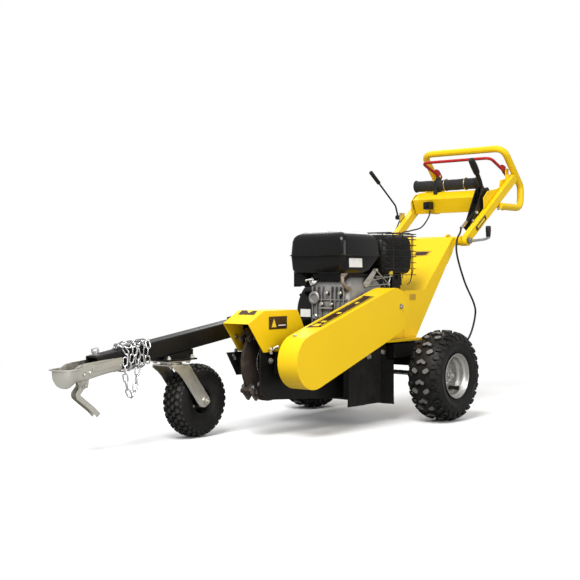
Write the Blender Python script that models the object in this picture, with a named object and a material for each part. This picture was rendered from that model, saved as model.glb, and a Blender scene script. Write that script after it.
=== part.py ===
"""Walk-behind stump grinder with a towing drawbar, modelled in metres, +Z up.

The ground is z = 0 and the towing end points to -X. Every length below is measured from the middle of
the rear axle; the empty "rear_axle_datum" then carries the machine so that the world origin lies on the
ground under the middle of its overall length and width.
"""

import math

import bmesh
import bpy
from mathutils import Vector

GAP = 0.0003              # clearance between pieces that touch
SHEET = 0.003             # thickness of the bent covers
PLATE = 0.005             # thickness of the black structural plates

# Rear axle and wheels
AXLE_X = 0.34             # the axle's place ahead of the world origin
AXLE_Z = 0.179
AXLE_R = 0.010
TRACK = 0.668
TYRE_R = 0.179
TYRE_W = 0.150
BEAD_R = 0.0893
RIM_W = 0.126
HUB_BORE_R = 0.0118

# Deck and frame
DECK_Z = 0.311            # top of the deck plate
RAIL_TOP = 0.305
RAIL_Y = 0.138            # rail centre lines
RAIL_W = 0.036
FRAME_FRONT = -0.60
FRAME_REAR = 0.10
DECK_FRONT = -0.540

# Cutter
CUTTER_X, CUTTER_Z = -0.726, 0.264
DISC_R = 0.142
DISC_Y = -0.045
DISC_T = 0.012
TOOTH_COUNT = 4
TOOTH_R = 0.147           # radius of the tooth bolts
SHAFT_R = 0.015
HOOD_NEAR_Y, HOOD_FAR_Y = -0.105, 0.0155

# Belt drive
GUARD_NEAR_Y, GUARD_FAR_Y = -0.260, -0.172
GUARD_FRONT_R, GUARD_REAR_R = 0.097, 0.090
GUARD_FRONT_X, GUARD_FRONT_Z = -0.728, 0.272
GUARD_REAR_X, GUARD_REAR_Z = -0.228, 0.435
CRANK_X, CRANK_Z = -0.262, 0.433
CRANK_R = 0.0125
BELT_Y = -0.216           # middle of the belt's width
CUTTER_PULLEY_R = 0.060
DRIVE_PULLEY_R = 0.054
GROOVE_DEPTH = 0.010

# Console column
COLUMN_Y = 0.165          # outer faces of its side plates
TILT_X, TILT_Z = 0.405, 0.722
TILT_TUBE_R = 0.020

# Handle
ARM_BASE_Y, ARM_TOP_Y = 0.190, 0.210
ARM_TOP_X, ARM_TOP_Z = 0.815, 1.028
ARM_W, ARM_H = 0.026, 0.036
BAR_R = 0.016
BAR_X, BAR_Z = 0.705, 1.148
BAIL_X, BAIL_Z = 0.782, 1.048

# Drawbar and coupling
BEAM_Y = 0.125
BEAM_W = 0.060
BEAM_FRONT_X, BEAM_REAR_X = -1.395, -0.600
BEAM_SLOPE = 0.1454       # rise over run
BEAM_REF_X, BEAM_REF_Z = -0.933, 0.3516
PIN_X = -0.660            # the pin through beam and sleeve
COUPLING_REAR_X = -1.300
LATCH_X, LATCH_Z = -1.438, 0.2245

# Caster
CASTER_X, CASTER_Z = -0.929, 0.1305
SWIVEL_X = -1.045
CASTER_R = 0.1305
CASTER_W = 0.084
CASTER_BEAD_R = 0.052
CASTER_AXLE_R = 0.006
CROWN_Z = 0.262           # underside of the fork's crown


# ---------------------------------------------------------------------------------------- materials

def finish(name, colour, roughness, metallic=0.0):
    """A Principled material, made once and shared."""
    material = bpy.data.materials.get(name)
    if material:
        return material
    material = bpy.data.materials.new(name)
    material.use_nodes = True
    shader = material.node_tree.nodes["Principled BSDF"]
    shader.inputs["Base Color"].default_value = (*colour, 1.0)
    shader.inputs["Roughness"].default_value = roughness
    shader.inputs["Metallic"].default_value = metallic
    material.diffuse_color = (*colour, 1.0)
    return material


def yellow_paint():
    return finish("yellow_paint", (0.88, 0.55, 0.02), 0.35)


def black_paint():
    return finish("black_paint", (0.018, 0.018, 0.018), 0.45)


def red_paint():
    return finish("red_paint", (0.45, 0.03, 0.02), 0.4)


def engine_black():
    return finish("engine_black", (0.012, 0.012, 0.013), 0.35)


def black_plastic():
    return finish("black_plastic", (0.02, 0.02, 0.02), 0.55)


def rubber():
    return finish("rubber", (0.022, 0.021, 0.02), 0.85)


def zinc():
    return finish("zinc", (0.62, 0.62, 0.58), 0.35, 1.0)


def bright_steel():
    return finish("bright_steel", (0.55, 0.55, 0.56), 0.3, 1.0)


def cast_aluminium():
    return finish("cast_aluminium", (0.5, 0.5, 0.5), 0.5, 1.0)


# -------------------------------------------------------------------------------------- mesh shapes

def box(low, high):
    """A block between two opposite corners."""
    shape = bmesh.new()
    bmesh.ops.create_cube(shape, size=1.0)
    low, high = Vector(low), Vector(high)
    size = high - low
    for vertex in shape.verts:
        vertex.co = (low + high) / 2 + Vector(vertex.co[i] * size[i] for i in range(3))
    return shape


def prism(outline, low, high, axis="Y"):
    """An outline pushed from low to high along an axis: (x, z) pairs for Y, (x, y) for Z, (y, z) for X."""
    point = {"Y": lambda a, b, h: (a, h, b), "Z": lambda a, b, h: (a, b, h), "X": lambda a, b, h: (h, a, b)}
    shape = bmesh.new()
    ends = []
    for height in (low, high):
        ends.append([shape.verts.new(point[axis](a, b, height)) for a, b in outline])
    shape.faces.new(ends[0])
    shape.faces.new(list(reversed(ends[1])))
    count = len(outline)
    for i in range(count):
        j = (i + 1) % count
        shape.faces.new((ends[0][j], ends[0][i], ends[1][i], ends[1][j]))
    bmesh.ops.recalc_face_normals(shape, faces=shape.faces)
    return shape


def lathe(profile, start, axis=(0, 1, 0), segments=24):
    """A closed profile of (radius, distance along the axis) turned about a line through start."""
    turn = Vector((0, 0, 1)).rotation_difference(Vector(axis)).to_matrix()
    shape = bmesh.new()
    rings = []
    for radius, along in profile:
        if radius < 1e-6:
            point = turn @ Vector((0, 0, along)) + Vector(start)
            rings.append([shape.verts.new(point)] * segments)
            continue
        ring = []
        for k in range(segments):
            angle = 2 * math.pi * (k + 0.5) / segments
            local = Vector((radius * math.cos(angle), radius * math.sin(angle), along))
            ring.append(shape.verts.new(turn @ local + Vector(start)))
        rings.append(ring)
    for i in range(len(rings)):
        one, other = rings[i], rings[(i + 1) % len(rings)]
        for k in range(segments):
            n = (k + 1) % segments
            corners = []
            for vertex in (one[k], one[n], other[n], other[k]):
                if vertex not in corners:
                    corners.append(vertex)
            if len(corners) > 2:
                shape.faces.new(corners)
    bmesh.ops.recalc_face_normals(shape, faces=shape.faces)
    return shape


def cylinder(start, end, radius, segments=16):
    """A solid bar of round section between two points."""
    start, end = Vector(start), Vector(end)
    length = (end - start).length
    profile = [(0, 0), (radius, 0), (radius, length), (0, length)]
    return lathe(profile, start, (end - start).normalized(), segments)


def ring(start, end, outer, inner, segments=16):
    """A bush: a round bar with a bore."""
    start, end = Vector(start), Vector(end)
    length = (end - start).length
    profile = [(inner, 0), (outer, 0), (outer, length), (inner, length)]
    return lathe(profile, start, (end - start).normalized(), segments)


def arc(x, z, radius, start, end, steps):
    """Points on an arc; angles in degrees, counter-clockwise positive."""
    points = []
    for k in range(steps + 1):
        angle = math.radians(start + (end - start) * k / steps)
        points.append((x + radius * math.cos(angle), z + radius * math.sin(angle)))
    return points


def rounded(corners, radius, steps=4, cyclic=False):
    """A polyline whose inner corners become arcs of about this radius."""
    corners = [Vector(c) for c in corners]
    count = len(corners)
    path = []
    for i, corner in enumerate(corners):
        if not cyclic and i in (0, count - 1):
            path.append(corner)
            continue
        back = corners[i - 1] - corner
        ahead = corners[(i + 1) % count] - corner
        half = back.angle(ahead) / 2
        reach = min(radius / math.tan(half), 0.49 * back.length, 0.49 * ahead.length)
        first = corner + back.normalized() * reach
        last = corner + ahead.normalized() * reach
        for k in range(steps + 1):
            t = k / steps
            path.append(first * (1 - t) ** 2 + corner * 2 * t * (1 - t) + last * t ** 2)
    return path


def sweep(path, section, up=(0, 1, 0), cyclic=False):
    """A closed section of (across, up) pairs carried along a path, its frame kept from twisting."""
    path = [Vector(p) for p in path]
    count = len(path)
    shape = bmesh.new()
    side = None
    rings = []
    for i, point in enumerate(path):
        before = path[i - 1] if (i or cyclic) else point
        after = path[(i + 1) % count] if (i < count - 1 or cyclic) else point
        along = (after - before).normalized()
        side = Vector(up).cross(along) if side is None else side - along * side.dot(along)
        side.normalize()
        rise = along.cross(side)
        rings.append([shape.verts.new(point + side * a + rise * b) for a, b in section])
    size = len(section)
    for i in range(count if cyclic else count - 1):
        one, other = rings[i], rings[(i + 1) % count]
        for k in range(size):
            n = (k + 1) % size
            shape.faces.new((one[k], one[n], other[n], other[k]))
    if not cyclic:
        shape.faces.new(list(reversed(rings[0])))
        shape.faces.new(rings[-1])
    bmesh.ops.recalc_face_normals(shape, faces=shape.faces)
    return shape


def tube(path, radius, segments=8, up=(0, 1, 0), cyclic=False):
    """A round bar along a path."""
    turns = [2 * math.pi * k / segments for k in range(segments)]
    return sweep(path, [(radius * math.cos(a), radius * math.sin(a)) for a in turns], up, cyclic)


def bar(start, end, width, height, up=(0, 1, 0)):
    """A straight bar of rectangular section; width lies across up, height along it."""
    w, h = width / 2, height / 2
    return sweep([start, end], [(-w, -h), (w, -h), (w, h), (-w, h)], up)


# ------------------------------------------------------------------------------------------ objects

def place(name, shape, material, pivot=(0, 0, 0)):
    """Turns a bmesh into a named object whose origin is at pivot, hung from the datum."""
    pivot = Vector(pivot)
    bmesh.ops.translate(shape, verts=shape.verts, vec=-pivot)
    mesh = bpy.data.meshes.new(name)
    shape.to_mesh(mesh)
    shape.free()
    obj = bpy.data.objects.new(name, mesh)
    obj.location = pivot
    bpy.context.collection.objects.link(obj)
    if material:
        mesh.materials.append(material)
    obj.parent = bpy.data.objects.get("rear_axle_datum")
    mesh.shade_smooth()
    mesh.set_sharp_from_angle(angle=math.radians(35))
    return obj


def combine(name, shapes, material, pivot=(0, 0, 0), cuts=()):
    """Joins shapes into one solid, takes the cuts out of it and keeps only the result."""
    body = place(name, shapes[0], material, pivot)
    tools = []
    for operation, group in (("UNION", shapes[1:]), ("DIFFERENCE", cuts)):
        for shape in group:
            tool = place(f"{name}_tool", shape, None)
            tool.hide_render = True
            tool.display_type = "WIRE"
            modifier = body.modifiers.new(operation.title(), "BOOLEAN")
            modifier.operation = operation
            modifier.object = tool
            tools.append(tool)
    bpy.context.view_layer.update()
    graph = bpy.context.evaluated_depsgraph_get()
    result = bpy.data.meshes.new_from_object(body.evaluated_get(graph))
    body.modifiers.clear()
    body.data = result
    for tool in tools:
        bpy.data.objects.remove(tool)
    result.materials.clear()
    result.materials.append(material)
    result.shade_smooth()
    result.set_sharp_from_angle(angle=math.radians(35))
    return body


# ---------------------------------------------------------------------------------- frame and deck

def deck_frame():
    """Two box rails, a wide rear member, the deck plate, and the tube with the two axle hangers."""
    shapes = []
    for side in (-1, 1):
        y = side * RAIL_Y
        low = (FRAME_FRONT, y - RAIL_W / 2, RAIL_TOP - 0.06)
        shapes.append(box(low, (FRAME_REAR, y + RAIL_W / 2, RAIL_TOP)))
    shapes.append(box((-0.150, -0.200, RAIL_TOP - 0.056), (0.055, 0.200, RAIL_TOP - 0.002)))
    shapes.append(box((DECK_FRONT, -0.160, RAIL_TOP - 0.004), (0.060, 0.190, DECK_Z)))
    shapes.append(box((-0.02, -0.235, RAIL_TOP - 0.095), (0.02, 0.235, RAIL_TOP - 0.055)))
    hanger = [(-0.03, 0.235), (-0.022, AXLE_Z - 0.022), (0.022, AXLE_Z - 0.022), (0.03, 0.235)]
    for side in (-1, 1):
        inner, outer = sorted((side * 0.216, side * 0.224))
        shapes.append(prism(hanger, inner, outer))
    bore = cylinder((0, -0.3, AXLE_Z), (0, 0.3, AXLE_Z), AXLE_R + 0.001)
    return combine("deck_frame", shapes, black_paint(), cuts=[bore])


def axle():
    half = TRACK / 2 + 0.040
    return place("axle", cylinder((0, -half, AXLE_Z), (0, half, AXLE_Z), AXLE_R), bright_steel())


def cutter_housing():
    """Side plates of the cutting chamber, the bulkhead between them and the foot that meets the deck."""
    near = [(-0.834, 0.157), (-0.815, 0.153), (-0.795, 0.135), (-0.350, 0.104), (-0.350, 0.240),
            (-0.560, 0.240), (-0.600, 0.355), (-0.655, 0.420), (-0.800, 0.420), (-0.834, 0.335)]
    far = [(-0.800, 0.200), (-0.760, 0.160), (-0.350, 0.130), (-0.350, 0.240),
           (-0.560, 0.240), (-0.600, 0.355), (-0.655, 0.420), (-0.800, 0.420)]
    shapes = [
        prism(near, -0.1015, -0.0965),
        prism(far, 0.0065, 0.0115),
        box((-0.530, -0.099, 0.125), (-0.522, 0.009, 0.240)),
        box((-0.555, -0.154, 0.2365), (-0.345, 0.154, 0.2445)),
    ]
    bore = cylinder((CUTTER_X, -0.12, CUTTER_Z), (CUTTER_X, -0.08, CUTTER_Z), SHAFT_R + 0.002)
    return combine("cutter_housing", shapes, black_paint(), cuts=[bore])


def hood_outline(inset=0.0):
    """Side view of the hood; the inset copy runs on past the open front and bottom."""
    if not inset:
        return [(-0.820, 0.303), (-0.900, 0.405), (-0.818, 0.449), (-0.632, 0.449), (-0.548, 0.303)]
    return [(-0.900, 0.250), (-0.960, 0.3735), (-0.8172, 0.449 - inset),
            (-0.632 - 0.6 * inset, 0.449 - inset), (-0.548 - 1.2 * inset, 0.303),
            (-0.548 - 1.2 * inset, 0.250)]


def cutter_hood():
    """Bent cover over the cutting wheel, open at the front and underneath."""
    outer = prism(hood_outline(), HOOD_NEAR_Y, HOOD_FAR_Y)
    inner = prism(hood_outline(SHEET), HOOD_NEAR_Y + SHEET, HOOD_FAR_Y - SHEET)
    return combine("cutter_hood", [outer], yellow_paint(), cuts=[inner])


def guard_outline(inset=0.0):
    """Two round ends of different size joined by their outer tangents."""
    run = GUARD_REAR_X - GUARD_FRONT_X
    rise = GUARD_REAR_Z - GUARD_FRONT_Z
    lean = math.degrees(math.atan2(rise, run))
    spread = math.degrees(math.acos((GUARD_FRONT_R - GUARD_REAR_R) / math.hypot(run, rise)))
    front = arc(GUARD_FRONT_X, GUARD_FRONT_Z, GUARD_FRONT_R - inset, lean + spread, lean + 360 - spread, 14)
    rear = arc(GUARD_REAR_X, GUARD_REAR_Z, GUARD_REAR_R - inset, lean - spread, lean + spread, 12)
    return front + rear


def belt_guard():
    """Pressed cover over the belt drive, open on the machine side, with two fixing lugs."""
    outer = prism(guard_outline(), GUARD_NEAR_Y, GUARD_FAR_Y)
    inner = prism(guard_outline(SHEET), GUARD_NEAR_Y + SHEET, GUARD_FAR_Y + 0.02)
    return combine("belt_guard", [outer], yellow_paint(), cuts=[inner])


def guard_backplate():
    """Black plate behind the belt drive; it carries the outer bearing and the flap."""
    outline = [(-0.775, 0.210), (-0.660, 0.178), (-0.430, 0.232), (-0.160, 0.238), (-0.160, 0.298),
               (-0.420, 0.298), (-0.560, 0.290), (-0.655, 0.330), (-0.775, 0.330)]
    plate = prism(outline, -0.1700, -0.1655)
    strut = box((-0.420, -0.168, 0.252), (-0.250, -0.1565, 0.259))
    bearing = cylinder((CUTTER_X, -0.1860, CUTTER_Z), (CUTTER_X, -0.1500, CUTTER_Z), 0.030, 20)
    bore = cylinder((CUTTER_X, -0.20, CUTTER_Z), (CUTTER_X, -0.14, CUTTER_Z), SHAFT_R + 0.0010)
    return combine("guard_backplate", [plate, strut, bearing], black_paint(), cuts=[bore])


def flaps():
    """Rubber sheets that stop the chips: beside the chamber, behind it, and ahead on the far side."""
    side = [(-0.416, 0.081), (-0.165, 0.068), (-0.165, 0.292), (-0.416, 0.226)]
    place("side_flap", prism(side, -0.1765, -0.1703), rubber())
    rear = [(-0.200, 0.068), (0.105, 0.068), (0.105, 0.243), (-0.200, 0.243)]
    place("rear_flap", prism(rear, -0.1595, -0.1535, "X"), rubber())
    front = [(-0.861, 0.301), (-0.812, 0.218), (-0.775, 0.218), (-0.775, 0.301)]
    place("front_flap", prism(front, 0.0160, 0.0210), rubber())


# -------------------------------------------------------------------------------------- cutter drive

def tooth_seat(k):
    """Middle of tooth seat k, its outward and its cutting direction; seat 0 is low at the front."""
    angle = math.radians(222 + 360 * k / TOOTH_COUNT)
    outward = Vector((math.cos(angle), 0, math.sin(angle)))
    ahead = Vector((-outward.z, 0, outward.x))
    return Vector((CUTTER_X, DISC_Y, CUTTER_Z)) + outward * TOOTH_R, outward, ahead


def cutter_wheel():
    """Thick disc with a pocket block across its rim for every tooth and a hub for the shaft."""
    centre = Vector((CUTTER_X, DISC_Y, CUTTER_Z))
    across = Vector((0, 1, 0))
    half = DISC_T / 2
    shapes = [lathe([(0, -half), (DISC_R, -half), (DISC_R, half), (0, half)], centre, segments=40)]
    shapes.append(cylinder(centre - across * 0.030, centre + across * 0.022, 0.034, 20))
    cuts = [cylinder(centre - across * 0.05, centre + across * 0.05, SHAFT_R + GAP, 16)]
    for k in range(TOOTH_COUNT):
        seat, outward, ahead = tooth_seat(k)
        block = [(-0.024, -0.0125), (0.012, -0.0125), (0.012, 0.0125), (-0.024, 0.0125)]
        shapes.append(sweep([seat - ahead * 0.016, seat + ahead * 0.016], block, across))
        cuts.append(cylinder(seat - across * 0.03, seat + across * 0.03, 0.0062, 10))
    return combine("cutter_wheel", shapes, black_paint(), centre, cuts)


def cutter_teeth():
    """Each tooth is a pair of carbide-tipped fingers on one bolt through the wheel's pocket."""
    across = Vector((0, 1, 0))
    finger = [(-0.008, -0.0055), (0.008, -0.0055), (0.008, 0.0055), (-0.008, 0.0055)]
    for k in range(TOOTH_COUNT):
        seat, outward, ahead = tooth_seat(k)
        shapes = [cylinder(seat - across * 0.026, seat + across * 0.026, 0.0057, 10)]
        for side in (-across, across):
            root = seat + side * 0.0185
            shapes.append(sweep([root - ahead * 0.014, root + ahead * 0.040], finger, across))
            shapes.append(cylinder(root, root + side * 0.011, 0.0095, 6))
        combine(f"cutter_tooth_{k + 1}", shapes, bright_steel(), (CUTTER_X, DISC_Y, CUTTER_Z))


def cutter_shaft():
    bar_shape = cylinder((CUTTER_X, -0.2500, CUTTER_Z), (CUTTER_X, -0.0160, CUTTER_Z), SHAFT_R)
    return place("cutter_shaft", bar_shape, bright_steel(), (CUTTER_X, DISC_Y, CUTTER_Z))


def shaft_bearing():
    """Flanged bearing housing on the chamber's side plate: a square flange and a boss."""
    half = 0.038
    flange = box((CUTTER_X - half, -0.1120, CUTTER_Z - half), (CUTTER_X + half, -0.1018, CUTTER_Z + half))
    boss = cylinder((CUTTER_X, -0.1280, CUTTER_Z), (CUTTER_X, -0.1040, CUTTER_Z), 0.030, 20)
    bore = cylinder((CUTTER_X, -0.14, CUTTER_Z), (CUTTER_X, -0.09, CUTTER_Z), SHAFT_R + 0.0010)
    return combine("shaft_bearing", [flange, boss], cast_aluminium(), cuts=[bore])


def pulley(x, z, rim, bore, segments=28):
    """Single-groove pulley centred on the belt."""
    floor = rim - GROOVE_DEPTH
    profile = [(bore, -0.018), (rim, -0.018), (rim, -0.0125), (floor, -0.0115), (floor, 0.0115),
               (rim, 0.0125), (rim, 0.018), (bore, 0.018)]
    return lathe(profile, (x, BELT_Y, z), segments=segments)


def pulleys():
    """The cutter's pulley slides on its shaft; the engine's is one piece with the crank's end."""
    driven = pulley(CUTTER_X, CUTTER_Z, CUTTER_PULLEY_R, SHAFT_R + GAP)
    place("cutter_pulley", driven, cast_aluminium(), (CUTTER_X, BELT_Y, CUTTER_Z))
    driver = pulley(CRANK_X, CRANK_Z, DRIVE_PULLEY_R, CRANK_R - 0.002)
    crank = cylinder((CRANK_X, -0.245, CRANK_Z), (CRANK_X, -0.080, CRANK_Z), CRANK_R)
    combine("drive_pulley", [crank, driver], cast_aluminium(), (CRANK_X, BELT_Y, CRANK_Z))


def drive_belt():
    """The belt as a closed band that sits in both grooves and runs straight between them."""
    run, rise = CRANK_X - CUTTER_X, CRANK_Z - CUTTER_Z
    lean = math.degrees(math.atan2(rise, run))
    spread = math.degrees(math.acos((CUTTER_PULLEY_R - DRIVE_PULLEY_R) / math.hypot(run, rise)))
    loops = []
    for lift in (GAP + 0.0005, GROOVE_DEPTH - 0.001):
        small, large = DRIVE_PULLEY_R - GROOVE_DEPTH + lift, CUTTER_PULLEY_R - GROOVE_DEPTH + lift
        loops.append(arc(CUTTER_X, CUTTER_Z, large, lean + spread, lean + 360 - spread, 14)
                     + arc(CRANK_X, CRANK_Z, small, lean - spread, lean + spread, 12))
    shape = bmesh.new()
    corners = [[shape.verts.new((x, y, z)) for x, z in loop]
               for loop in loops for y in (BELT_Y - 0.0105, BELT_Y + 0.0105)]
    inner_near, inner_far, outer_near, outer_far = corners
    count = len(inner_near)
    for i in range(count):
        j = (i + 1) % count
        for one, other in ((inner_near, inner_far), (inner_far, outer_far), (outer_far, outer_near),
                           (outer_near, inner_near)):
            shape.faces.new((one[i], one[j], other[j], other[i]))
    bmesh.ops.recalc_face_normals(shape, faces=shape.faces)
    return place("drive_belt", shape, rubber())


# -------------------------------------------------------------------------------------------- engine

def crankcase():
    """Cast block on four feet, with the output cover and its seal boss on the belt side."""
    shapes = [
        box((-0.375, -0.140, DECK_Z + 0.022), (-0.150, 0.030, 0.540)),
        box((-0.400, -0.130, DECK_Z + GAP), (-0.150, 0.020, DECK_Z + 0.030)),
        cylinder((CRANK_X, -0.155, CRANK_Z), (CRANK_X, -0.120, CRANK_Z), 0.085, 28),
        cylinder((CRANK_X, -0.164, CRANK_Z), (CRANK_X, -0.140, CRANK_Z), 0.030, 20),
        box((-0.350, -0.120, 0.530), (-0.240, 0.020, 0.583)),
    ]
    bore = cylinder((CRANK_X, -0.20, CRANK_Z), (CRANK_X, -0.05, CRANK_Z), CRANK_R + 0.001)
    return combine("crankcase", shapes, cast_aluminium(), cuts=[bore])


def cylinder_head():
    """Finned barrel and head, leaning towards the operator."""
    lean = math.radians(25)
    along = Vector((math.cos(lean), 0, math.sin(lean)))
    foot = Vector((-0.150 + GAP * 2, -0.055, 0.455))
    shapes = [sweep([foot + along * 0.028, foot + along * 0.140],
                    [(-0.040, -0.040), (0.040, -0.040), (0.040, 0.040), (-0.040, 0.040)])]
    low = foot - Vector((0, 0.040, 0.045))
    shapes.append(box(low, foot + Vector((0.050, 0.040, 0.055))))
    for k in range(6):
        start = foot + along * (0.040 + 0.014 * k)
        shapes.append(sweep([start, start + along * 0.006],
                            [(-0.062, -0.058), (0.062, -0.058), (0.062, 0.058), (-0.062, 0.058)]))
    cover = foot + along * 0.130
    shapes.append(sweep([cover, cover + along * 0.034],
                        [(-0.046, -0.050), (0.046, -0.050), (0.046, 0.050), (-0.046, 0.050)]))
    return combine("cylinder_head", shapes, cast_aluminium())


def fan_housing():
    """Round cowl over the flywheel, hollow behind the starter."""
    outer = cylinder((CRANK_X, 0.0305, CRANK_Z), (CRANK_X, 0.100, CRANK_Z), 0.1205, 36)
    cowl = box((CRANK_X, 0.0305, CRANK_Z - 0.02), (CRANK_X + 0.115, 0.085, CRANK_Z + 0.128))
    hollow = cylinder((CRANK_X, 0.050, CRANK_Z), (CRANK_X, 0.120, CRANK_Z), 0.100, 30)
    return combine("fan_housing", [outer, cowl], engine_black(), cuts=[hollow])


def recoil_starter():
    """Dished starter cover with a mouth for the rope, and the grip parked in it."""
    profile = [(0.0, 0.1003), (0.108, 0.1003), (0.108, 0.106), (0.092, 0.126), (0.040, 0.134),
               (0.0, 0.134)]
    cover = lathe(profile, (CRANK_X, 0, CRANK_Z), segments=30)
    hollow = cylinder((CRANK_X, 0.090, CRANK_Z), (CRANK_X, 0.118, CRANK_Z), 0.085, 24)
    mouth = (CRANK_X + 0.012, 0.0, CRANK_Z + 0.062)
    slot = cylinder((mouth[0], 0.09, mouth[2]), (mouth[0], 0.15, mouth[2]), 0.007, 12)
    combine("recoil_cover", [cover], engine_black(), cuts=[hollow, slot])
    rope = cylinder((mouth[0], 0.060, mouth[2]), (mouth[0], 0.142, mouth[2]), 0.0022, 8)
    grip = box((mouth[0] - 0.030, 0.136, mouth[2] - 0.009), (mouth[0] + 0.030, 0.154, mouth[2] + 0.009))
    combine("recoil_grip", [grip, rope], black_plastic(), (mouth[0], 0.145, mouth[2]))


def tank_section(x0, x1, y0, y1, chamfer):
    return [(x0 + chamfer, y0), (x1 - chamfer, y0), (x1, y0 + chamfer), (x1, y1 - chamfer),
            (x1 - chamfer, y1), (x0 + chamfer, y1), (x0, y1 - chamfer), (x0, y0 + chamfer)]


def fuel_tank():
    """Two pressed halves joined at a flange, with the filler sunk in the top."""
    def layer(inset, z, chamfer):
        x0, x1, y0, y1 = -0.432 + inset, -0.205 - inset, -0.165 + inset, 0.085 - inset
        return [(x, y, z) for x, y in tank_section(x0, x1, y0, y1, chamfer)]
    levels = [layer(0.022, 0.5850, 0.03), layer(0.004, 0.602, 0.03), layer(0.0, 0.648, 0.03),
              layer(-0.008, 0.650, 0.034), layer(-0.008, 0.656, 0.034), layer(0.0, 0.658, 0.03),
              layer(0.004, 0.705, 0.03), layer(0.024, 0.735, 0.03), layer(0.040, 0.741, 0.03)]
    shape = bmesh.new()
    rings = [[shape.verts.new(point) for point in level] for level in levels]
    size = len(rings[0])
    for one, other in zip(rings, rings[1:]):
        for k in range(size):
            n = (k + 1) % size
            shape.faces.new((one[k], one[n], other[n], other[k]))
    shape.faces.new(list(reversed(rings[0])))
    shape.faces.new(rings[-1])
    bmesh.ops.recalc_face_normals(shape, faces=shape.faces)
    well = cylinder((-0.330, -0.040, 0.722), (-0.330, -0.040, 0.760), 0.036, 24)
    combine("fuel_tank", [shape], engine_black(), cuts=[well])
    cap = lathe([(0, 0.7225), (0.033, 0.7225), (0.033, 0.741), (0.029, 0.744), (0, 0.744)],
                (-0.330, -0.040, 0), (0, 0, 1), 24)
    place("fuel_cap", cap, black_plastic(), (-0.330, -0.040, 0.7225))


def air_cleaner():
    base = box((-0.195, -0.010, 0.585), (-0.045, 0.118, 0.602))
    cover = box((-0.190, -0.005, 0.598), (-0.050, 0.113, 0.705))
    return combine("air_cleaner", [base, cover], black_plastic())


def carburettor():
    body = box((-0.105, 0.020, 0.545), (-0.060, 0.060, 0.5845))
    bowl = cylinder((-0.082, 0.040, 0.515), (-0.082, 0.040, 0.550), 0.017, 16)
    neck = box((-0.100, 0.0065, 0.550), (-0.066, 0.025, 0.575))
    return combine("carburettor", [body, bowl, neck], cast_aluminium())


def muffler():
    """Pressed silencer box with its seam, its outlet and the pipe down to the head."""
    shell = box((-0.168, -0.150, 0.612), (0.012, -0.030, 0.722))
    seam = box((-0.174, -0.156, 0.664), (0.018, -0.024, 0.669))
    pipe = tube([(-0.060, -0.080, 0.630), (-0.060, -0.080, 0.5745)], 0.016, 12, (1, 0, 0))
    outlet = tube([(0.000, -0.125, 0.690), (0.034, -0.125, 0.684)], 0.011, 12)
    return combine("muffler", [shell, seam, pipe, outlet], engine_black())


def muffler_guard():
    """Wire basket round the silencer, hooked to the console."""
    x0, x1, y0, y1, z0, z1 = -0.185, 0.040, -0.172, -0.020, 0.610, 0.742
    wire = 0.0022
    shapes = []
    for z in (z0, 0.643, 0.676, 0.709, z1):
        corners = [(x0, y1, z), (x0, y0, z), (x1, y0, z), (x1, y1, z)]
        shapes.append(tube(rounded(corners, 0.015, 3), wire, 6, (0, 0, 1)))
    posts = [(x0, -0.10), (-0.110, y0), (-0.035, y0), (0.020, y0), (x1, -0.125), (x1, -0.075)]
    for x, y in posts:
        shapes.append(tube([(x, y, z0 - 0.004), (x, y, z1 + 0.004)], wire * 1.05, 6, (1, 0, 0)))
    for x in (-0.120, -0.055, 0.010):
        shapes.append(tube([(x, y0 - 0.003, z1), (x, y1, z1)], wire * 1.05, 6, (0, 0, 1)))
    for y in (-0.150, -0.125):
        shapes.append(tube([(x1, y, z0 + 0.02), (x1, y, 0.56), (x1 - 0.012, y, 0.535)], wire, 6))
    shapes.append(tube([(x1, y0 + 0.012, z0), (x1, y1, z0)], wire * 1.02, 6, (0, 0, 1)))
    return combine("muffler_guard", shapes, black_paint())


# ------------------------------------------------------------------------------------------- console

def column():
    """Bent console: two side plates, the sloping front panel, the base ledge and the pivot ears."""
    side = [(-0.030, 0.3150), (0.054, 0.3150), (0.376, 0.716), (0.372, 0.728), (0.355, 0.736),
            (0.345, 0.728), (0.126, 0.512), (-0.030, 0.512)]
    shapes = [prism(side, -COLUMN_Y, -COLUMN_Y + SHEET), prism(side, COLUMN_Y - SHEET, COLUMN_Y)]
    front = [(0.0480, 0.4280), (0.0510, 0.4250), (0.1270, 0.5085), (0.3480, 0.7265),
             (0.3580, 0.7330), (0.3700, 0.7270), (0.3740, 0.7300), (0.3585, 0.7370),
             (0.3440, 0.7310), (0.1240, 0.5125)]
    shapes.append(prism(front, -COLUMN_Y + 0.001, COLUMN_Y - 0.001))
    shapes.append(box((-0.200, -0.205, DECK_Z + GAP), (0.060, 0.205, 0.320)))
    ear = ([(0.300, 0.640), (0.390, 0.690)] + arc(TILT_X, TILT_Z, 0.030, -60, 150, 8) + [(0.345, 0.7255)])
    for y in (-0.105, 0.105):
        shapes.append(prism(ear, y - 0.003, y + 0.003))
    brace = [(0.300, 0.625), (0.306, 0.622), (0.350, 0.677), (0.344, 0.680)]
    shapes.append(prism(brace, -COLUMN_Y + 0.001, COLUMN_Y - 0.001))
    bore = cylinder((TILT_X, -0.2, TILT_Z), (TILT_X, 0.2, TILT_Z), TILT_TUBE_R + 0.0008, 20)
    engine_room = box((-0.205, -0.158, 0.300), (-0.035, 0.158, 0.330))
    return combine("column", shapes, yellow_paint(), cuts=[bore, engine_room])


# -------------------------------------------------------------------------------------------- handle

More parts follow.
